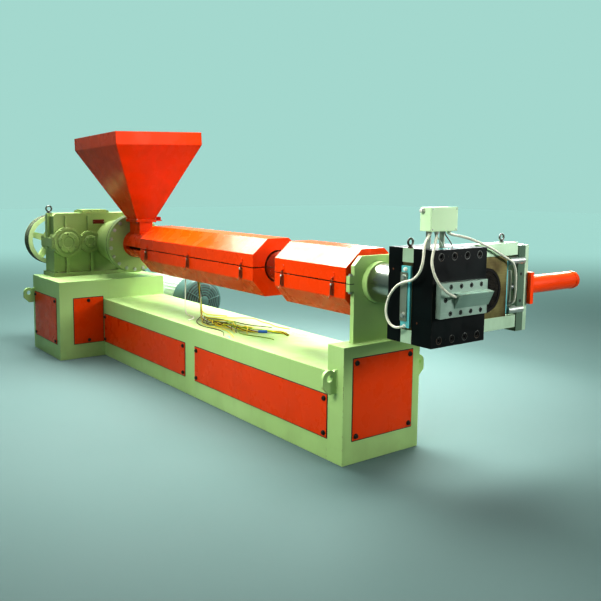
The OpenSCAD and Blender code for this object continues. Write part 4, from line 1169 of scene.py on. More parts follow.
    def draped(self, path: Array, radius: float) -> Array:
        """Lifts a line over the cords laid before it, by the highest of their tops under a bell.

        Args:
            path: points of the line as it would lie on the bare bed.
            radius: the line's own radius, which sets how long the hump is.

        Returns:
            The lifted points; those well over the bed, or far from any cord, stay.
        """
        lift = np.zeros(len(path))
        for laid, thick in self.laid:
            apart = np.linalg.norm(path[:, None, :2] - laid[None, :, :2], axis=2)
            on_bed = laid[None, :, 2] < self.bed_top + self.near_bed
            bell = np.exp(-(apart / (self.hump + thick + radius)) ** 2) * on_bed
            top = laid[None, :, 2] + thick / 2 - self.bed_top
            lift = np.maximum(lift, (top * bell).max(axis=1))
        near = path[:, 2] < self.bed_top + self.near_bed
        return path + np.stack([0 * lift, 0 * lift, lift * near], -1)

    def stray(self, name: str, paint: Paints, line: list[Point], radius: float,
              far_end: str = "bare") -> None:
        """One strand along its line.

        Args:
            name: the piece's name.
            paint: the insulation's finish.
            line: the points that it follows, from its exit.
            radius: the strand's radius.
        """
        path = self.draped(smooth_path(line, self.step), radius)
        self.laid.append((path, 2 * radius))
        piece = self.shop.mesh(name, [(swept(path, radius, 8), paint)])
        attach(piece, "frame")

    def tape_scraps(self) -> None:
        """Two scraps of tape on the bed."""
        scrap = plate(0.015, 0.006, 0.0008, 0.003, 0.0003)
        shapes = [placed(scrap, [(x, y, self.bed_top)], Axis.Z, spin) for x, y, spin in self.scraps]
        self.shop.add("bed_tape_scraps", [(joined(*shapes), Paints.CYAN_TAPE)])

    def trims(self) -> Steps:
        """The methods that add pieces, in order."""
        return self.head_leads, self.twisted, self.loose, self.tape_scraps


def annulus(outer: float, inner: float, height: float, edge: float = 0.001, sides: int = 40) -> Surface:
    """A flat ring on Z = 0: its four-cornered section, with broken upper edges, turned about Z.

    Args:
        outer: the outer radius.
        inner: the inner radius.
        height: the ring's height.
        edge: how far the upper edges are cut back.
        sides: points round the axis.

    Returns:
        The closed surface.
    """
    rows = [(outer, 0.0), (outer, height - edge), (outer - edge, height), (inner + edge, height),
            (inner, height - edge), (inner, 0.0)]
    r, z = np.array(rows).T
    t = np.linspace(0, 2 * np.pi, sides, endpoint=False)
    rings = np.stack([np.outer(r, np.cos(t)), np.outer(r, np.sin(t)), np.repeat(z[:, None], sides, 1)], -1)
    return skin(rings, capped=False, looped=True)


def bead(start: Point, end: Point, radius: float = 0.004) -> Surface:
    """A weld bead: a round section along a straight seam, its radius wandering in a sine.

    Args:
        start: one end of the seam.
        end: its other end.
        radius: the bead's middle radius.

    Returns:
        The closed surface.
    """
    pitch, swing, pace = 0.0045, 0.12, 0.61
    steps = max(8, round(math.dist(start, end) / pitch))
    t = np.linspace(0, 1, steps)[:, None]
    path = np.array(start) * (1 - t) + np.array(end) * t
    return swept(path, radius * (1 + swing * np.sin(np.arange(steps) * pace)), 8)


@dataclass
class Base(Assembly):
    """Bed, pedestal and end box with bolted panels, painted shadow gaps round them and welded seams.

    A panel of the pedestal is given as its middle and its half width along the face.
    """

    half_w: float = high("bed", ACROSS)
    bed_end: float = high("bed", ALONG)
    bed_top: float = high("bed", UP)
    near_y: float = low("pedestal", ACROSS)
    rear_x: float = low("pedestal", ALONG)
    bed_panel: float = 1.490
    front_panel: Pair = (-0.4435, 0.1345)
    near_panel: Pair = (-0.3625, 0.2825)
    rear_panel: Pair = (-0.205, 0.350)
    panel_t: float = 0.004
    shadow_gap_lip: float = 0.005
    shadow_gap_t: float = 0.0014
    screw: Screw = Screw(Head.HEX, 0.0120, 0.010)
    inset: float = 0.024
    narrow: float = 0.15
    front_lugs: Places = (3.190, 3.210)
    front_lug_z: Pair = (0.403, 0.535)
    rear_lugs: Places = (-0.688, -0.668)
    rear_lug_z: Pair = (0.434, 0.566)
    support_seams: Places = (3.174, 3.204)
    support_half: float = 0.176
    support_foot: float = low("support_plate", UP)
    seam_gap: float = 0.002
    finishes: ClassVar[Finishes] = {
        Paints.GREEN: ("bed", "pedestal", "end_box", "lifting_lugs", "motor_base"),
        Paints.PANEL: ("bed_panels", "pedestal_panels", "end_panel")}

    def faces(self) -> list[tuple[Axis, Point, float, float]]:
        """Finds each panel's place.

        Returns:
            For each panel its facing, the middle of its back on the frame, and its half sizes.
        """
        z, tall, wide = middle("bed_panels", UP), half("bed_panels", UP), self.bed_panel / 2
        bed = [(axis, (x, y, z), wide, tall) for x in (wide, self.bed_end - wide)
               for axis, y in ((Axis.BACK_Y, -self.half_w), (Axis.Y, self.half_w))]
        z, tall = middle("pedestal_panels", UP), half("pedestal_panels", UP)
        pedestal = [(Axis.X, (0.0, self.front_panel[0], z), self.front_panel[1], tall),
                    (Axis.BACK_Y, (self.near_panel[0], self.near_y, z), self.near_panel[1], tall),
                    (Axis.BACK_X, (self.rear_x, self.rear_panel[0], z), self.rear_panel[1], tall)]
        back = (low("end_panel", ALONG), middle("end_panel", ACROSS), middle("end_panel", UP))
        return bed + pedestal + [(Axis.X, back, half("end_panel", ACROSS), half("end_panel", UP))]

    def panel_trim(self) -> None:
        """Black strips just wider than each panel, painting the shadow gap at its edge; black screws at its
        corners or down a narrow middle.
        """
        shadow_gap_plates, heads = [], []
        for axis, back, a, b in self.faces():
            lip = self.shadow_gap_lip
            # a thin black plate just wider than the panel: painted shadow in the gap round its edge
            shadow_gap_plates.append(placed(plate(a + lip, b + lip, self.shadow_gap_t, 0.003, 0.0004), [back], axis))
            out = np.array(axis.value) * self.panel_t
            along = np.cross([0.0, 0.0, 1.0], axis.value)
            sides = (0.0,) if a < self.narrow else (self.inset - a, a - self.inset)
            spots = [np.array(back) + out + along * s + np.array([0, 0, z])
                     for s in sides for z in (self.inset - b, b - self.inset)]
            heads.append(self.screw.at(np.array(spots), axis))
        self.shop.add("panel_shadow_gaps", [(joined(*shadow_gap_plates), Paints.RUBBER_AND_SHADE)])
        self.shop.add("panel_screws", [(joined(*heads), Paints.SCREW_AND_SHADE)], slot="black_oxide")

    def welds(self) -> None:
        """Painted beads where the lugs, the pedestal, the bed and the end box meet."""
        h, top, foot = self.half_w, self.bed_top, self.support_foot
        (a, b), (c, d) = self.front_lug_z, self.rear_lug_z
        beads = [bead((x, y, a), (x, y, b)) for x in self.front_lugs for y in (-h, h)]
        beads += [bead((x, y, c), (x, y, d)) for x in self.rear_lugs for y in (self.near_y, h)]
        beads.append(bead((0.0, -h, self.seam_gap), (0.0, -h, top - self.seam_gap)))
        beads += [bead((x, -h, top), (x, h, top)) for x in (0.0, self.bed_end)]
        wide = self.support_half
        beads += [bead((x, -wide, foot), (x, wide, foot)) for x in self.support_seams]
        self.shop.add("weld_beads", [(joined(*beads), Paints.GREEN)], slot="green_paint")

    def trims(self) -> Steps:
        """The methods that add pieces, in order."""
        return self.panel_trim, self.welds


@dataclass
class Gearbox(Assembly):
    """Split gear housing with its bosses, covers, gauge and thrust housing."""

    face_x: float = high("gearbox_lower", ALONG)
    back_x: float = low("gearbox_lower", ALONG)
    cap_x: float = high("bearing_caps", ALONG)
    ring_x: float = high("thrust_housing", ALONG)
    input_y: float = -0.470
    idler_y: float = -0.255
    flange_half: float = 0.040
    flange_x: Places = (-0.680, -0.550, -0.420)
    flange_y: Places = (-0.606, 0.251)
    foot_top: float = 0.720
    foot_x: Places = (-0.680, -0.420)
    foot_y: Places = (-0.560, -0.350, 0.020, 0.205)
    hatch_top: float = 1.280
    hatch_x: Places = (-0.636, -0.464)
    hatch_y: Places = (-0.303, -0.212, -0.148, -0.057)
    cover_t: float = 0.014
    ring_bolts: int = 18
    ring_r: float = 0.236
    groove_x: float = -0.0175
    wall_x: float = -0.435
    blank_at: Pair = (-0.158, 1.183)
    blank_t: float = 0.003
    rivet_away: float = 0.049
    gauge_y: float = -0.168
    gauge_cap_z: float = 1.012
    gauge_stem_z: float = 0.948
    glass_at: Point = (-0.402, -0.160, 0.934)
    gauge_cap: Profile = ((0.019, 0), (0.019, 0.010), (0.026, 0.012), (0.026, 0.030), (0.022, 0.034),
                          (0.008, 0.034))
    gauge_stem: Profile = ((0.013, 0), (0.013, 0.034), (0.003, 0.036))
    gauge_glass: Profile = ((0.009, 0), (0.009, 0.052), (0.006, 0.056), (0.002, 0.056))
    bolt: Screw = Screw(Head.HEX, 0.014, 0.014)
    small: Screw = Screw(Head.HEX, 0.009, 0.008)
    nut: Screw = Screw(Head.HEX, 0.0135, 0.011)
    rivet: Screw = Screw(Head.DOME, 0.003, 0.002)
    finishes: ClassVar[Finishes] = {
        Paints.CAST_GREEN_WITH_SHADE: ("gearbox_lower", "gearbox_upper", "bearing_caps", "inspection_cover",
                            "thrust_housing")}

    def bolts(self) -> None:
        """Bolts painted with the castings, and zinc screws in the thrust housing's ring."""
        ends = [(x, y, AXIS_Z + self.flange_half) for x in self.flange_x for y in self.flange_y]
        under = [(x, y, AXIS_Z - self.flange_half) for x, y, _ in ends]
        foot = [(x, y, self.foot_top) for x in self.foot_x for y in self.foot_y]
        hatch = [(x, y, self.hatch_top) for x in self.hatch_x for y in self.hatch_y]
        caps = np.vstack([ring_of(6, 0.077, (self.cap_x, self.input_y, AXIS_Z), 30),
                          ring_of(4, 0.047, (self.cap_x, self.idler_y, AXIS_Z), 45)])
        rear_x = self.back_x - self.cover_t
        rear = np.vstack([ring_of(6, 0.115, (rear_x, 0.0, AXIS_Z), 30),
                          ring_of(6, 0.066, (rear_x, self.idler_y, AXIS_Z), 30)])
        heads = joined(self.bolt.at(ends, Axis.Z), self.bolt.at(under, Axis.DOWN),
                       self.bolt.at(foot, Axis.Z), self.small.at(hatch, Axis.Z),
                       self.small.at(caps, Axis.X), self.small.at(rear, Axis.BACK_X))
        self.shop.add("gearbox_bolts", [(heads, Paints.CAST_GREEN_WITH_SHADE)], slot="gear_paint")
        ring = ring_of(self.ring_bolts, self.ring_r, (self.ring_x, 0.0, AXIS_Z), 8)
        washers = placed(annulus(0.0165, 0.012, 0.002, 0.0005, 20), ring, Axis.X)
        nuts = joined(self.nut.at(ring, Axis.X), washers)
        self.shop.add("thrust_ring_screws", [(nuts, Paints.ZINC)], slot="gear_paint")

    def covers(self) -> None:
        """A gasket in the thrust housing's groove, rings round the front caps, and two covers behind."""
        gasket = placed(annulus(0.2632, 0.2515, 0.007), [(self.groove_x, 0.0, AXIS_Z)], Axis.X)
        self.shop.add("thrust_gasket", [(gasket, Paints.RUBBER_AND_SHADE)])
        rings = [placed(annulus(outer, outer - 0.018, 0.005), [(self.face_x, y, AXIS_Z)], Axis.X)
                 for outer, y in ((0.130, self.input_y), (0.096, self.idler_y))]
        t, dish = self.cover_t, self.cover_t - 0.003
        for r, y in ((0.138, 0.0), (0.082, self.idler_y)):
            rows = [(r, 0), (r, dish), (r - 0.004, t), (0.6 * r, t), (0.55 * r, dish), (0.1 * r, dish)]
            rings.append(placed(turned(rows, 40), [(self.back_x, y, AXIS_Z)], Axis.BACK_X))
        self.shop.add("boss_rings", [(joined(*rings), Paints.CAST_GREEN_WITH_SHADE)], slot="gear_paint")

    def fittings(self) -> None:
        """A blank plate with two rivets, and an oil gauge with its cap."""
        y, z = self.blank_at
        blank = placed(plate(0.056, 0.0195, self.blank_t, 0.004), [(self.wall_x, y, z)], Axis.X)
        spots = [(self.wall_x + self.blank_t, y + side * self.rivet_away, z) for side in (-1, 1)]
        rivets = self.rivet.at(spots, Axis.X)
        self.shop.add("blank_plate", [(blank, Paints.DARK_RED), (rivets, Paints.ZINC)])
        cap = placed(turned(self.gauge_cap, 24), [(self.wall_x, self.gauge_y, self.gauge_cap_z)], Axis.X)
        stem = placed(turned(self.gauge_stem, 16), [(self.wall_x, self.gauge_y, self.gauge_stem_z)], Axis.X)
        glass = placed(turned(self.gauge_glass, 16), [self.glass_at], Axis.Z)
        self.shop.add("oil_gauge", [(cap, Paints.ZINC), (stem, Paints.ZINC), (glass, Paints.GLASS)])

    def trims(self) -> Steps:
        """The methods that add pieces, in order."""
        return self.bolts, self.covers, self.fittings


@dataclass
class Drive(Assembly):
    """Pulleys, belts and motor; the fan cover's dome is given as radii and places along X."""

    motor_y: float = middle("motor_fan_cover", ACROSS)
    motor_z: float = middle("motor_fan_cover", UP)
    dome: Profile = ((0.0, 0.164), (0.070, 0.162), (0.150, 0.150), (0.206, 0.127))
    slot_radii: Places = (0.060, 0.084, 0.108, 0.132, 0.156, 0.180)
    slot_half: float = 0.0045
    slot_depth: float = 0.003
    slot_proud: float = 0.0012
    slot_sides: int = 48
    ribs: int = 8
    rib_start: float = 12.0
    rib_radius: float = 0.0045
    hub_x: float = 0.1625
    hub: Profile = ((0.048, -0.004), (0.048, 0.003), (0.044, 0.005), (0.012, 0.007), (0.002, 0.007))
    lid_x: float = middle("motor_terminal_box", ALONG)
    lid_z: float = high("motor_terminal_box", UP) - 0.0001
    lid_half: Pair = (0.098, 0.083)
    lid_t: float = 0.006
    lid_inset: float = 0.010
    gland_at: Point = (-0.300, high("motor_terminal_box", ACROSS), 0.712)
    gland: Profile = ((0.020, 0), (0.020, 0.014), (0.017, 0.016), (0.017, 0.030), (0.011, 0.036),
                      (0.008, 0.036))
    rim_x: float = -0.052
    rim_r: float = 0.219
    feet_x: Places = (-0.560, -0.180)
    foot_away: float = 0.200
    foot_z: float = 0.231
    bush_x: float = -0.917
    bush_t: float = 0.005
    shaft_r: float = 0.0335
    finishes: ClassVar[Finishes] = {
        Paints.PULLEY: ("drive_pulley", "motor_pulley"), Paints.RUBBER_AND_SHADE: ("drive_belts",),
        Paints.MOTOR: ("motor_frame", "motor_terminal_box"), Paints.FAN: ("motor_fan_cover",)}

    def grille(self) -> None:
        """Black rings in the fan cover's dome that paint the shade seen through its slots, crossed by
        painted ribs that meet at a hub.
        """
        r, x = np.array(self.dome).T
        t = np.linspace(0, 2 * np.pi, self.slot_sides, endpoint=False)
        slots, ribs = [], []
        for radius in self.slot_radii:
            inner, outer = radius - self.slot_half, radius + self.slot_half
            a = np.array([outer, outer, inner, inner])
            lift = np.array([-self.slot_depth, self.slot_proud, self.slot_proud, -self.slot_depth])
            height = np.repeat((np.interp(a, r, x) + lift)[:, None], self.slot_sides, 1)
            rings = np.stack([height, np.outer(a, np.cos(t)) + self.motor_y,
                              np.outer(a, np.sin(t)) + self.motor_z], -1)
            # each ring is black: painted shade where the dome's slots open onto the fan behind
            slots.append(skin(rings, capped=False, looped=True))
        along = np.linspace(0.046, 0.196, 14)
        for turn in np.radians(np.arange(self.ribs) * 360 / self.ribs + self.rib_start):
            line = np.stack([np.interp(along, r, x), along * math.cos(turn) + self.motor_y,
                             along * math.sin(turn) + self.motor_z], -1)
            ribs.append(swept(line, self.rib_radius, 8))
        hub = placed(turned(self.hub, 32), [(self.hub_x, self.motor_y, self.motor_z)], Axis.X)
        self.shop.add("fan_grille", [(joined(*slots), Paints.RUBBER_AND_SHADE), (joined(*ribs, hub), Paints.FAN)],
                      slot="motor_cover")

    def motor_trim(self) -> None:
        """Screws round the fan cover, the terminal lid with its screws and gland, and foot bolts."""
        y, z = self.motor_y, self.motor_z
        a, b = self.lid_half
        lid = placed(plate(a, b, self.lid_t, 0.008), [(self.lid_x, y, self.lid_z)], Axis.Z)
        a, b, top = a - self.lid_inset, b - self.lid_inset, self.lid_z + self.lid_t
        corners = [(self.lid_x + dx, y + dy, top) for dx in (-a, a) for dy in (-b, b)]
        lid_screws = Screw(Head.HEX, 0.006, 0.005).at(corners, Axis.Z)
        gland = placed(turned(self.gland, 18, (0, 1)), [self.gland_at], Axis.Y)
        rim = ring_of(4, self.rim_r, (self.rim_x, y, z), 45)
        rim_screw = Screw(Head.HEX, 0.007, 0.006)
        cover = joined(*(rim_screw.at([spot], tuple(spot - np.array([self.rim_x, y, z]))) for spot in rim))
        feet = [(x, y + side * self.foot_away, self.foot_z) for x in self.feet_x for side in (-1, 1)]
        bolts = Screw(Head.HEX, 0.013, 0.014).at(feet, Axis.Z)
        self.shop.add("motor_trim", [(lid, Paints.MOTOR), (joined(lid_screws, cover, bolts), Paints.ZINC),
                                     (gland, Paints.RUBBER_AND_SHADE)], slot="motor_paint")

    def bushes(self) -> None:
        """A split bush with three screws on each pulley's outer face."""
        drive, motor = (Gearbox.input_y, AXIS_Z), (self.motor_y, self.motor_z)
        for body, at, outer in (("drive_pulley", drive, 0.058), ("motor_pulley", motor, 0.047)):
            bush = placed(annulus(outer, self.shaft_r, self.bush_t), [(self.bush_x, *at)], Axis.BACK_X)
            spots = ring_of(3, (outer + 0.034) / 2, (self.bush_x - self.bush_t, *at), 70)
            screws = Screw(Head.SOCKET, 0.006, 0.004).at(spots, Axis.BACK_X)
            self.shop.add(f"{body}_bush", [(bush, Paints.ZINC), (screws, Paints.SCREW_AND_SHADE)], body)

    def trims(self) -> Steps:
        """The methods that add pieces, in order."""
        return self.grille, self.motor_trim, self.bushes


@dataclass
class Feed(Assembly):
    """Feed housing, throat, slide gate and hopper.

    The hopper's foot is given as its two places along X and two along Y, and its fold and top as corners.
    """

    foot: tuple[float, float, float, float] = (0.060, 0.250, -0.085, 0.085)
    foot_z: float = 1.2296
    fold: Route = ((-0.311, -0.415, 1.833), (0.590, -0.415, 1.855), (0.590, 0.372, 1.882),
                               (-0.312, 0.372, 1.860))
    top: Route = ((-0.314, -0.418, 1.938), (0.587, -0.419, 1.960), (0.587, 0.368, 1.987),
                              (-0.314, 0.368, 1.965))
    seam_radius: float = 0.0028
    bolts_x: Places = (0.0535, 0.2565)
    bolts_y: Places = (-0.088, 0.088)
    nuts_z: float = 1.205
    bolt: Screw = Screw(Head.HEX, 0.0052, 0.005)
    slot_x: float = 0.239
    slot_y: float = -0.0742
    slot_t: float = 0.002
    slot_z: float = 0.976
    strip_z: float = 0.985
    finishes: ClassVar[Finishes] = {
        Paints.ORANGE: ("hopper", "feed_throat", "feed_housing"), Paints.DARK_ORANGE: ("hopper_gate",)}

    def seams(self) -> None:
        """Ground weld seams along the hopper's slanting corners, its rim's corners and its foot."""
        a, b, c, d = self.foot
        foot = tuple((x, y, self.foot_z) for x, y in ((a, c), (b, c), (b, d), (a, d)))
        lines = [*zip(foot, self.fold), *zip(self.fold, self.top), *zip(foot, foot[1:] + foot[:1])]
        beads = joined(*(bead(start, end, self.seam_radius) for start, end in lines))
        self.shop.add("hopper_seams", [(beads, Paints.ORANGE)], slot="orange_paint")

    def flange_bolts(self) -> None:
        """Small bolts through the corners of the hopper's flange, with nuts under the throat's flange."""
        spots = [(x, y, self.foot_z) for x in self.bolts_x for y in self.bolts_y]
        nuts = [(x, y, self.nuts_z) for x, y, _ in spots]
        heads = joined(self.bolt.at(spots, Axis.Z), self.bolt.at(nuts, Axis.DOWN))
        self.shop.add("flange_bolts", [(heads, Paints.ZINC)])

    def slot_shade_plate(self) -> None:
        """A black plate on the bottom of the feed housing's cooling slot that paints the shade inside it,
        with a bright steel strip.
        """
        shade_plate_at = (self.slot_x, self.slot_y, self.slot_z)
        # black plate: painted shade at the back of the slot
        floor = placed(plate(0.172, 0.0135, self.slot_t, 0.003), [shade_plate_at], Axis.BACK_Y)
        strip_at = (self.slot_x, self.slot_y - self.slot_t, self.strip_z)
        strip = placed(plate(0.165, 0.0022, 0.006, 0.001, 0.0008), [strip_at], Axis.BACK_Y)
        self.shop.add("slot_shade_plate", [(floor, Paints.SCREEN_AND_SHADE), (strip, Paints.ZINC)])

    def trims(self) -> Steps:
        """The methods that add pieces, in order."""
        return self.seams, self.flange_bolts, self.slot_shade_plate


@dataclass
class Barrel(Assembly):
    """Barrel, heaters, octagonal covers with latches and hinges, and the front support.

    Latches and hinges are given as shares of each cover's length, a latch's handle as Y and Z.
    """

    covers: tuple[str, ...] = ("cover_base_1", "cover_base_2")
    latch_shares: tuple[Places, ...] = ((0.072, 0.487, 0.919), (0.128, 0.838))
    hinge_shares: tuple[Places, ...] = ((0.08, 0.5, 0.92), (0.16, 0.84))
    pivot: Screw = Screw(Head.DOME, 0.0075, 0.007)
    pivot_at: Pair = (-0.2175, 0.983)
    handle: tuple[Pair, ...] = ((-0.219, 0.975), (-0.222, 0.955), (-0.223, 0.930),
                                               (-0.229, 0.916), (-0.238, 0.908))
    handle_radius: float = 0.0075
    leaf_screw: Screw = Screw(Head.DOME, 0.0045, 0.003)
    leaf_y: float = 0.208
    leaf_rise: float = 0.029
    lid_leaf: float = 0.010
    base_leaf: float = 0.030
    ear_bolt: Screw = Screw(Head.HEX, 0.0115, 0.012)
    ear_x: float = 3.189
    ear_y: float = 0.1925
    ear_rise: float = 0.044
    split_shade_y: float = 0.1928
    split_shade_t: float = 0.0040
    finishes: ClassVar[Finishes] = {
        Paints.BARREL: ("barrel",), Paints.HEATER: ("heater_bands", "cover_saddles"),
        Paints.ORANGE: ("cover_base_1", "cover_base_2", "cover_lid_1", "cover_lid_2"),
        Paints.ZINC: ("hinge_pins",), Paints.LEVER: ("latches",),
        Paints.GREEN: ("support_plate", "support_cap")}

    def along(self, shares: tuple[Places, ...], cover: int) -> list[float]:
        """Finds places along a cover.

        Args:
            shares: for each cover, the places as shares of its length.
            cover: the cover's number.

        Returns:
            The places along X.
        """
        start, end = low(self.covers[cover], ALONG), high(self.covers[cover], ALONG)
        return [start + share * (end - start) for share in shares[cover]]

    def latch_trim(self) -> None:
        """A bright pivot and a curled brown handle on each latch."""
        pivots, handles = [], []
        for x in self.along(self.latch_shares, 0) + self.along(self.latch_shares, 1):
            pivots.append(self.pivot.at([(x, *self.pivot_at)], Axis.BACK_Y))
            line = smooth_path([(x, y, z) for y, z in self.handle], 0.004)
            handles.append(swept(line, self.handle_radius, 10, flat=0.5))
        self.shop.add("latch_trim", [(joined(*pivots), Paints.ZINC), (joined(*handles), Paints.LEVER)],
                      slot="zinc_steel")

    def hinge_screws(self) -> None:
        """Two screws in each hinge leaf, on the lid and on the base."""
        for cover in range(len(self.covers)):
            at = self.along(self.hinge_shares, cover)
            lid = [(x + side * self.lid_leaf, self.leaf_y, AXIS_Z + self.leaf_rise)
                   for x in at for side in (-1, 1)]
            base = [(x + side * self.base_leaf, self.leaf_y, AXIS_Z - self.leaf_rise)
                    for x in at for side in (-1, 1)]
            heads = self.leaf_screw.at(lid, Axis.Y)
            self.shop.add(f"lid_screws_{cover + 1}", [(heads, Paints.ZINC)], f"lid_{cover + 1}")
            self.shop.add(f"base_screws_{cover + 1}", [(self.leaf_screw.at(base, Axis.Y), Paints.ZINC)])

    def support_trim(self) -> None:
        """Clamp bolts through the ears, over and under, and a black plate in each split that paints the
        shade of the gap.
        """
        over = [(self.ear_x, side * self.ear_y, AXIS_Z + self.ear_rise) for side in (-1, 1)]
        under = [(x, y, AXIS_Z - self.ear_rise) for x, y, _ in over]
        heads = joined(self.ear_bolt.at(over, Axis.Z), self.ear_bolt.at(under, Axis.DOWN))
        # black plate in the split: painted shade in the gap between the ears
        split_shade = plate(0.0152, 0.0168, self.split_shade_t, 0.001, 0.0004)
        spots = [(self.ear_x, side * self.split_shade_y, AXIS_Z - self.split_shade_t / 2) for side in (-1, 1)]
        self.shop.add("support_bolts", [(heads, Paints.ZINC), (placed(split_shade, spots, Axis.Z), Paints.SCREW_AND_SHADE)])

    def trims(self) -> Steps:
        """The methods that add pieces, in order."""
        return self.latch_trim, self.hinge_screws, self.support_trim


@dataclass
class Changer(Assembly):
    """Screen changer with its slide, cylinder, die and junction box."""

    front_x: float = high("changer_front", ALONG)
    side_y: float = low("changer_front", ACROSS)
    top_z: float = high("changer_front", UP)
    head_z: float = middle("changer_front", UP)
    rod_z: float = 0.974
    cap_screw: Screw = Screw(Head.SOCKET, 0.0148, 0.0115)
    cap_y: Places = (-0.144, -0.048, 0.048, 0.144)
    cap_rise: float = 0.207
    cap_depth: float = 0.0135
    plug: Screw = Screw(Head.SOCKET, 0.0042, 0.0012)
    plug_y: Places = (-0.096, 0.0, 0.096)
    die_z: float = middle("die_plate", UP)
    die_screw: Screw = Screw(Head.SOCKET, 0.0064, 0.006)
    die_y: Places = (-0.103, -0.027, 0.049, 0.125)
    die_rise: float = 0.066
    die_extra: Pair = (-0.141, 0.987)
    die_seat: float = 3.8125
    die_face: float = 3.828
    end_holes: Places = (-0.079, 0.075)
    side_screw: Screw = Screw(Head.SOCKET, 0.0045, 0.0015)
    side_at: tuple[Pair, ...] = ((3.527, 1.118), (3.700, 0.86))
    screen_y: float = 0.380
    screen_x: float = 3.654
    screen_r: float = 0.124
    screen_rim: float = 0.016
    screen_edge: float = 0.012
    cell: float = 0.0098
    cell_t: float = 0.003
    cell_sides: int = 12
    clamp_bolt: Screw = Screw(Head.HEX, 0.0125, 0.011)
    near_clamp_x: float = 3.621
    near_clamp_z: Places = (0.893, 1.086)
    far_clamp_x: float = 3.620
    far_clamp_z: Places = (0.890, 1.058)
    terminal_z: Places = (0.836, 1.126)
    terminal: Profile = ((0.011, 0), (0.011, 0.004), (0.009, 0.005), (0.0085, 0.012), (0.0045, 0.013))
    flange_bolt: Screw = Screw(Head.HEX, 0.0095, 0.010)
    flange_x: Places = (3.581, 3.673)
    flange_y: float = 0.770
    flange_z: Places = (0.889, 1.039)
    end_cap: Profile = ((0.0545, -0.030), (0.0545, -0.014), (0.0460, -0.001), (0.0450, 0.001),
                        (0.010, 0.001))
    port: Profile = ((0.016, -0.006), (0.016, 0.014), (0.013, 0.016), (0.0125, 0.026), (0.004, 0.026))
    port_x: float = 3.577
    port_y: Places = (0.805, 1.195)
    box_x: float = high("junction_box", ALONG)
    box_y: float = middle("junction_box", ACROSS)
    box_z: float = middle("junction_box", UP)
    lid_gap: float = 0.0014
    lid_t: float = 0.0055
    lid_screw: Screw = Screw(Head.DOME, 0.0038, 0.0022)
    lid_screw_x: float = 3.7568
    lid_screw_away: Pair = (0.086, 0.050)
    gland: Profile = ((0.0135, 0), (0.0135, 0.007), (0.0105, 0.008), (0.0105, 0.015), (0.0078, 0.018),
                      (0.0072, 0.018))
    gland_back: Point = (3.700, low("junction_box", ACROSS), 1.420)
    bracket_screw: Screw = Screw(Head.DOME, 0.006, 0.004)
    bracket_x: float = middle("junction_bracket", ALONG)
    bracket_y: Places = (-0.112, -0.012)
    bracket_t: float = 0.006
    dab_at: Pair = (3.650, 0.612)
    long_tape_at: Pair = (3.748, -0.070)
    short_tape_at: Pair = (3.735, 0.030)
    finishes: ClassVar[Finishes] = {
        Paints.OXIDE: ("changer_back", "changer_front"),
        Paints.PLATE: ("changer_frame", "cylinder_plate"), Paints.GREEN_IN_PAINTED_SHADE: ("changer_end_plate",),
        Paints.SLIDE: ("changer_slide",), Paints.TURQUOISE: ("strip_heaters",),
        Paints.CLAMP: ("heater_clamps",), Paints.ZINC: ("tie_rods", "junction_bracket"),
        Paints.EYE_AND_HIGHLIGHT: ("eyebolts",), Paints.DIE: ("die_plate",), Paints.CYLINDER: ("slide_cylinder",),
        Paints.CHROME: ("slide_rod",), Paints.BOX: ("junction_box",)}

    def head_screws(self) -> None:
        """Cap screws in the front block's counterbores with plugs between them, and the die's screws.

        Flat black rings paint the shade in the die's and the end plate's holes; lighter rings round the
        counterbores paint highlights.
        """
        levels = (self.head_z - self.cap_rise, self.head_z + self.cap_rise)
        rows = [(y, z) for z in levels for y in self.cap_y]
        caps = self.cap_screw.at([(self.front_x - self.cap_depth, y, z) for y, z in rows], Axis.X)
        plugs = self.plug.at([(self.front_x, y, z) for z in levels for y in self.plug_y], Axis.X)
        # lighter steel rings on the face round each counterbore: painted highlights on their edges
        rim_highlights = placed(annulus(0.0205, 0.0172, 0.0008, 0.0003),
                      [(self.front_x, y, z) for y, z in rows], Axis.X)
        die = [(y, self.die_z + side * self.die_rise) for side in (-1, 1) for y in self.die_y]
        die.append(self.die_extra)
        die_caps = self.die_screw.at([(self.die_seat, y, z) for y, z in die], Axis.X)
        # black rings at the die's holes: painted shade in their openings
        die_hole_shade = placed(annulus(0.0124, 0.0068, 0.0006, 0.0002, 24),
                            [(self.die_face, y, z) for y, z in die], Axis.X)
        end_x, end_y = high("changer_end_plate", ALONG), middle("changer_end_plate", ACROSS)
        end_hole_shade = placed(annulus(0.0088, 0.0040, 0.0006, 0.0002, 24),
                            [(end_x, end_y, self.rod_z + rise) for rise in self.end_holes], Axis.X)
        side = self.side_screw.at([(x, self.side_y, z) for x, z in self.side_at], Axis.BACK_Y)
        hole_shade = joined(die_hole_shade, end_hole_shade)
        self.shop.add("head_screws", [(joined(caps, plugs, die_caps), Paints.SCREW_AND_SHADE), (rim_highlights, Paints.EYE_AND_HIGHLIGHT),
                                      (side, Paints.LEVER), (hole_shade, Paints.RUBBER_AND_SHADE)], slot="black_oxide")

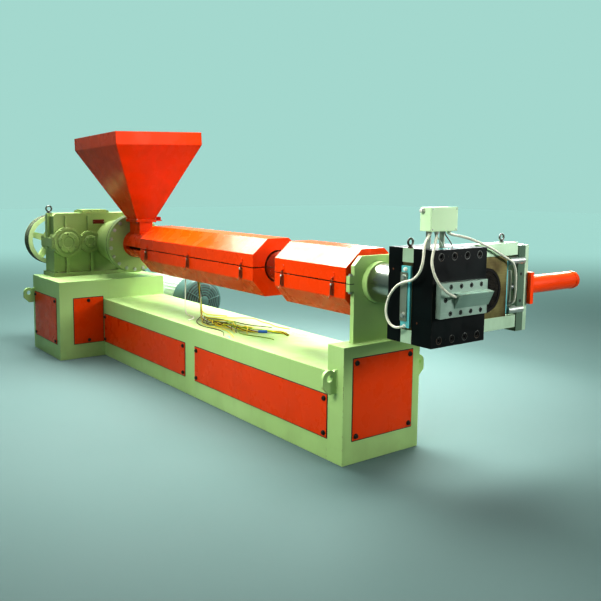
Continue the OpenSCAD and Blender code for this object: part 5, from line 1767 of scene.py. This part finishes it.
    def screen(self) -> None:
        """The drilled screen plate: hexagon cells, each with a round hole, inside a plain rim.

        A cell's face runs from its hexagon to the hole's circle, and the wall goes straight down.
        """
        n = self.cell_sides
        t = np.linspace(0, 2 * np.pi, n, endpoint=False)
        hexagon = self.cell / np.sqrt(3) * np.cos(np.pi / 6) / np.cos(np.mod(t, np.pi / 3) - np.pi / 6)
        rows = [(hexagon, 0.0), (hexagon, self.cell_t), (np.full(n, 0.0034), self.cell_t),
                (np.full(n, 0.0030), 0.0006)]
        rings = np.stack([np.column_stack([r * np.sin(t), r * np.cos(t), np.full(n, z)]) for r, z in rows])
        cell = skin(rings[:, ::-1])
        reach = int(self.screen_r / self.cell) + 2
        i, j = np.meshgrid(np.arange(-reach, reach + 1), np.arange(-reach, reach + 1), indexing="ij")
        u, v = self.cell * (i + 0.5 * (j % 2)), self.cell * np.sqrt(3) / 2 * j
        inside = np.hypot(u, v) < self.screen_r - self.screen_edge
        spots = np.stack([np.full(inside.sum(), self.screen_x), u[inside] + self.screen_y,
                          v[inside] + self.rod_z], -1)
        rim = placed(annulus(self.screen_r, self.screen_r - self.screen_rim, 0.0055, 0.001, 64),
                     [(self.screen_x, self.screen_y, self.rod_z)], Axis.X)
        self.shop.add("screen_plate", [(placed(cell, spots, Axis.X), Paints.SCREEN_AND_SHADE), (rim, Paints.SCREEN_AND_SHADE)],
                      "slide", smooth=25.0)

    def slide_trim(self) -> None:
        """Clamp bolts and ceramic terminals on the strip heaters, which move with the slide."""
        near_y, far_y = low("heater_clamps", ACROSS), high("heater_clamps", ACROSS)
        near = self.clamp_bolt.at([(self.near_clamp_x, near_y, z) for z in self.near_clamp_z], Axis.BACK_Y)
        far = self.clamp_bolt.at([(self.far_clamp_x, far_y, z) for z in self.far_clamp_z], Axis.Y)
        strip_x, strip_y = middle("strip_heaters", ALONG), low("strip_heaters", ACROSS)
        cups = placed(turned(self.terminal, 18), [(strip_x, strip_y, z) for z in self.terminal_z],
                      Axis.BACK_Y)
        self.shop.add("slide_trim", [(joined(near, far), Paints.ZINC), (cups, Paints.WHITE)], "slide")

    def cylinder_trim(self) -> None:
        """Flange bolts, a rounded end cap, and two oil ports on the far side."""
        corners = [(x, self.flange_y, z) for x in self.flange_x for z in self.flange_z]
        bolts = self.flange_bolt.at(corners, Axis.Y)
        end = (middle("slide_cylinder", ALONG), high("slide_cylinder", ACROSS), self.rod_z)
        cap = placed(turned(self.end_cap, 48), [end], Axis.Y)
        ports = placed(turned(self.port, 18, (2, 3)), [(self.port_x, y, self.rod_z) for y in self.port_y],
                       Axis.BACK_X)
        self.shop.add("cylinder_trim", [(cap, Paints.CYLINDER), (joined(bolts, ports), Paints.ZINC)],
                      slot="orange_paint", smooth=24.0)

    def box_trim(self) -> None:
        """The junction box's lid on a black plate that paints the shadow in the gap under its edge, lid
        screws, glands for the leads and the bracket's screws.
        """
        y, z = self.box_y, self.box_z
        # black plate just smaller than the lid: painted shadow in the gap at the lid's edge
        lid_gap_shade = placed(plate(0.0955, 0.0590, 0.0016, 0.003, 0.0004), [(self.box_x, y, z)], Axis.X)
        lid_at = (self.box_x + self.lid_gap, y, z)
        lid = placed(plate(0.0965, 0.0600, self.lid_t, 0.004, 0.0012), [lid_at], Axis.X)
        a, b = self.lid_screw_away
        corners = [(self.lid_screw_x, y + dy, z + dz) for dy in (-a, a) for dz in (-b, b)]
        screws = self.lid_screw.at(corners, Axis.X)
        gland = turned(self.gland, 18, (0, 1))
        under = placed(gland, [Leads.left[0], Leads.die[0], Leads.right[0]], Axis.DOWN)
        back = placed(gland, [self.gland_back], Axis.BACK_Y)
        feet = self.bracket_screw.at(
            [(self.bracket_x, foot, self.top_z + self.bracket_t) for foot in self.bracket_y], Axis.Z)
        metal, glands = joined(screws, feet), joined(under, back)
        self.shop.add("box_trim", [(lid_gap_shade, Paints.RUBBER_AND_SHADE), (lid, Paints.BOX), (metal, Paints.ZINC),
                                   (glands, Paints.WHITE)], slot="box_paint")

    def marks(self) -> None:
        """A dab of red paint on the upper bar's end and scraps of turquoise tape on the front block."""
        top = self.top_z
        dab = placed(plate(0.011, 0.024, 0.0007, 0.008, 0.0003), [(*self.dab_at, top)], Axis.Z, 12)
        long = placed(plate(0.030, 0.013, 0.0008, 0.004, 0.0003), [(*self.long_tape_at, top)], Axis.Z, 78)
        short = placed(plate(0.018, 0.010, 0.0008, 0.003, 0.0003), [(*self.short_tape_at, top)], Axis.Z, 24)
        tape = joined(long, short)
        self.shop.add("paint_and_tape", [(dab, Paints.DARK_ORANGE), (tape, Paints.CYAN_TAPE)])

    def trims(self) -> Steps:
        """The methods that add pieces, in order."""
        return self.head_screws, self.screen, self.slide_trim, self.cylinder_trim, self.box_trim, self.marks


def main() -> None:
    """Builds the studio, the leads and each sub-assembly, and logs the CAD nodes left without a finish."""
    logging.basicConfig(level=logging.INFO, format="%(name)s: %(message)s")
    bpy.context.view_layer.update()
    Studio().build()
    shop = Workshop()
    for kind in (Leads, Base, Gearbox, Drive, Feed, Barrel, Changer):
        kind(shop).build()
    made = {material.name for material in shop.made.values()}
    bare = [name for name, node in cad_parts.items() if not node.hide_render
            and node.data.materials[0].name not in made]
    log.info("nodes without a finish of their own: %s", bare)


if __name__ == "__main__":
    main()
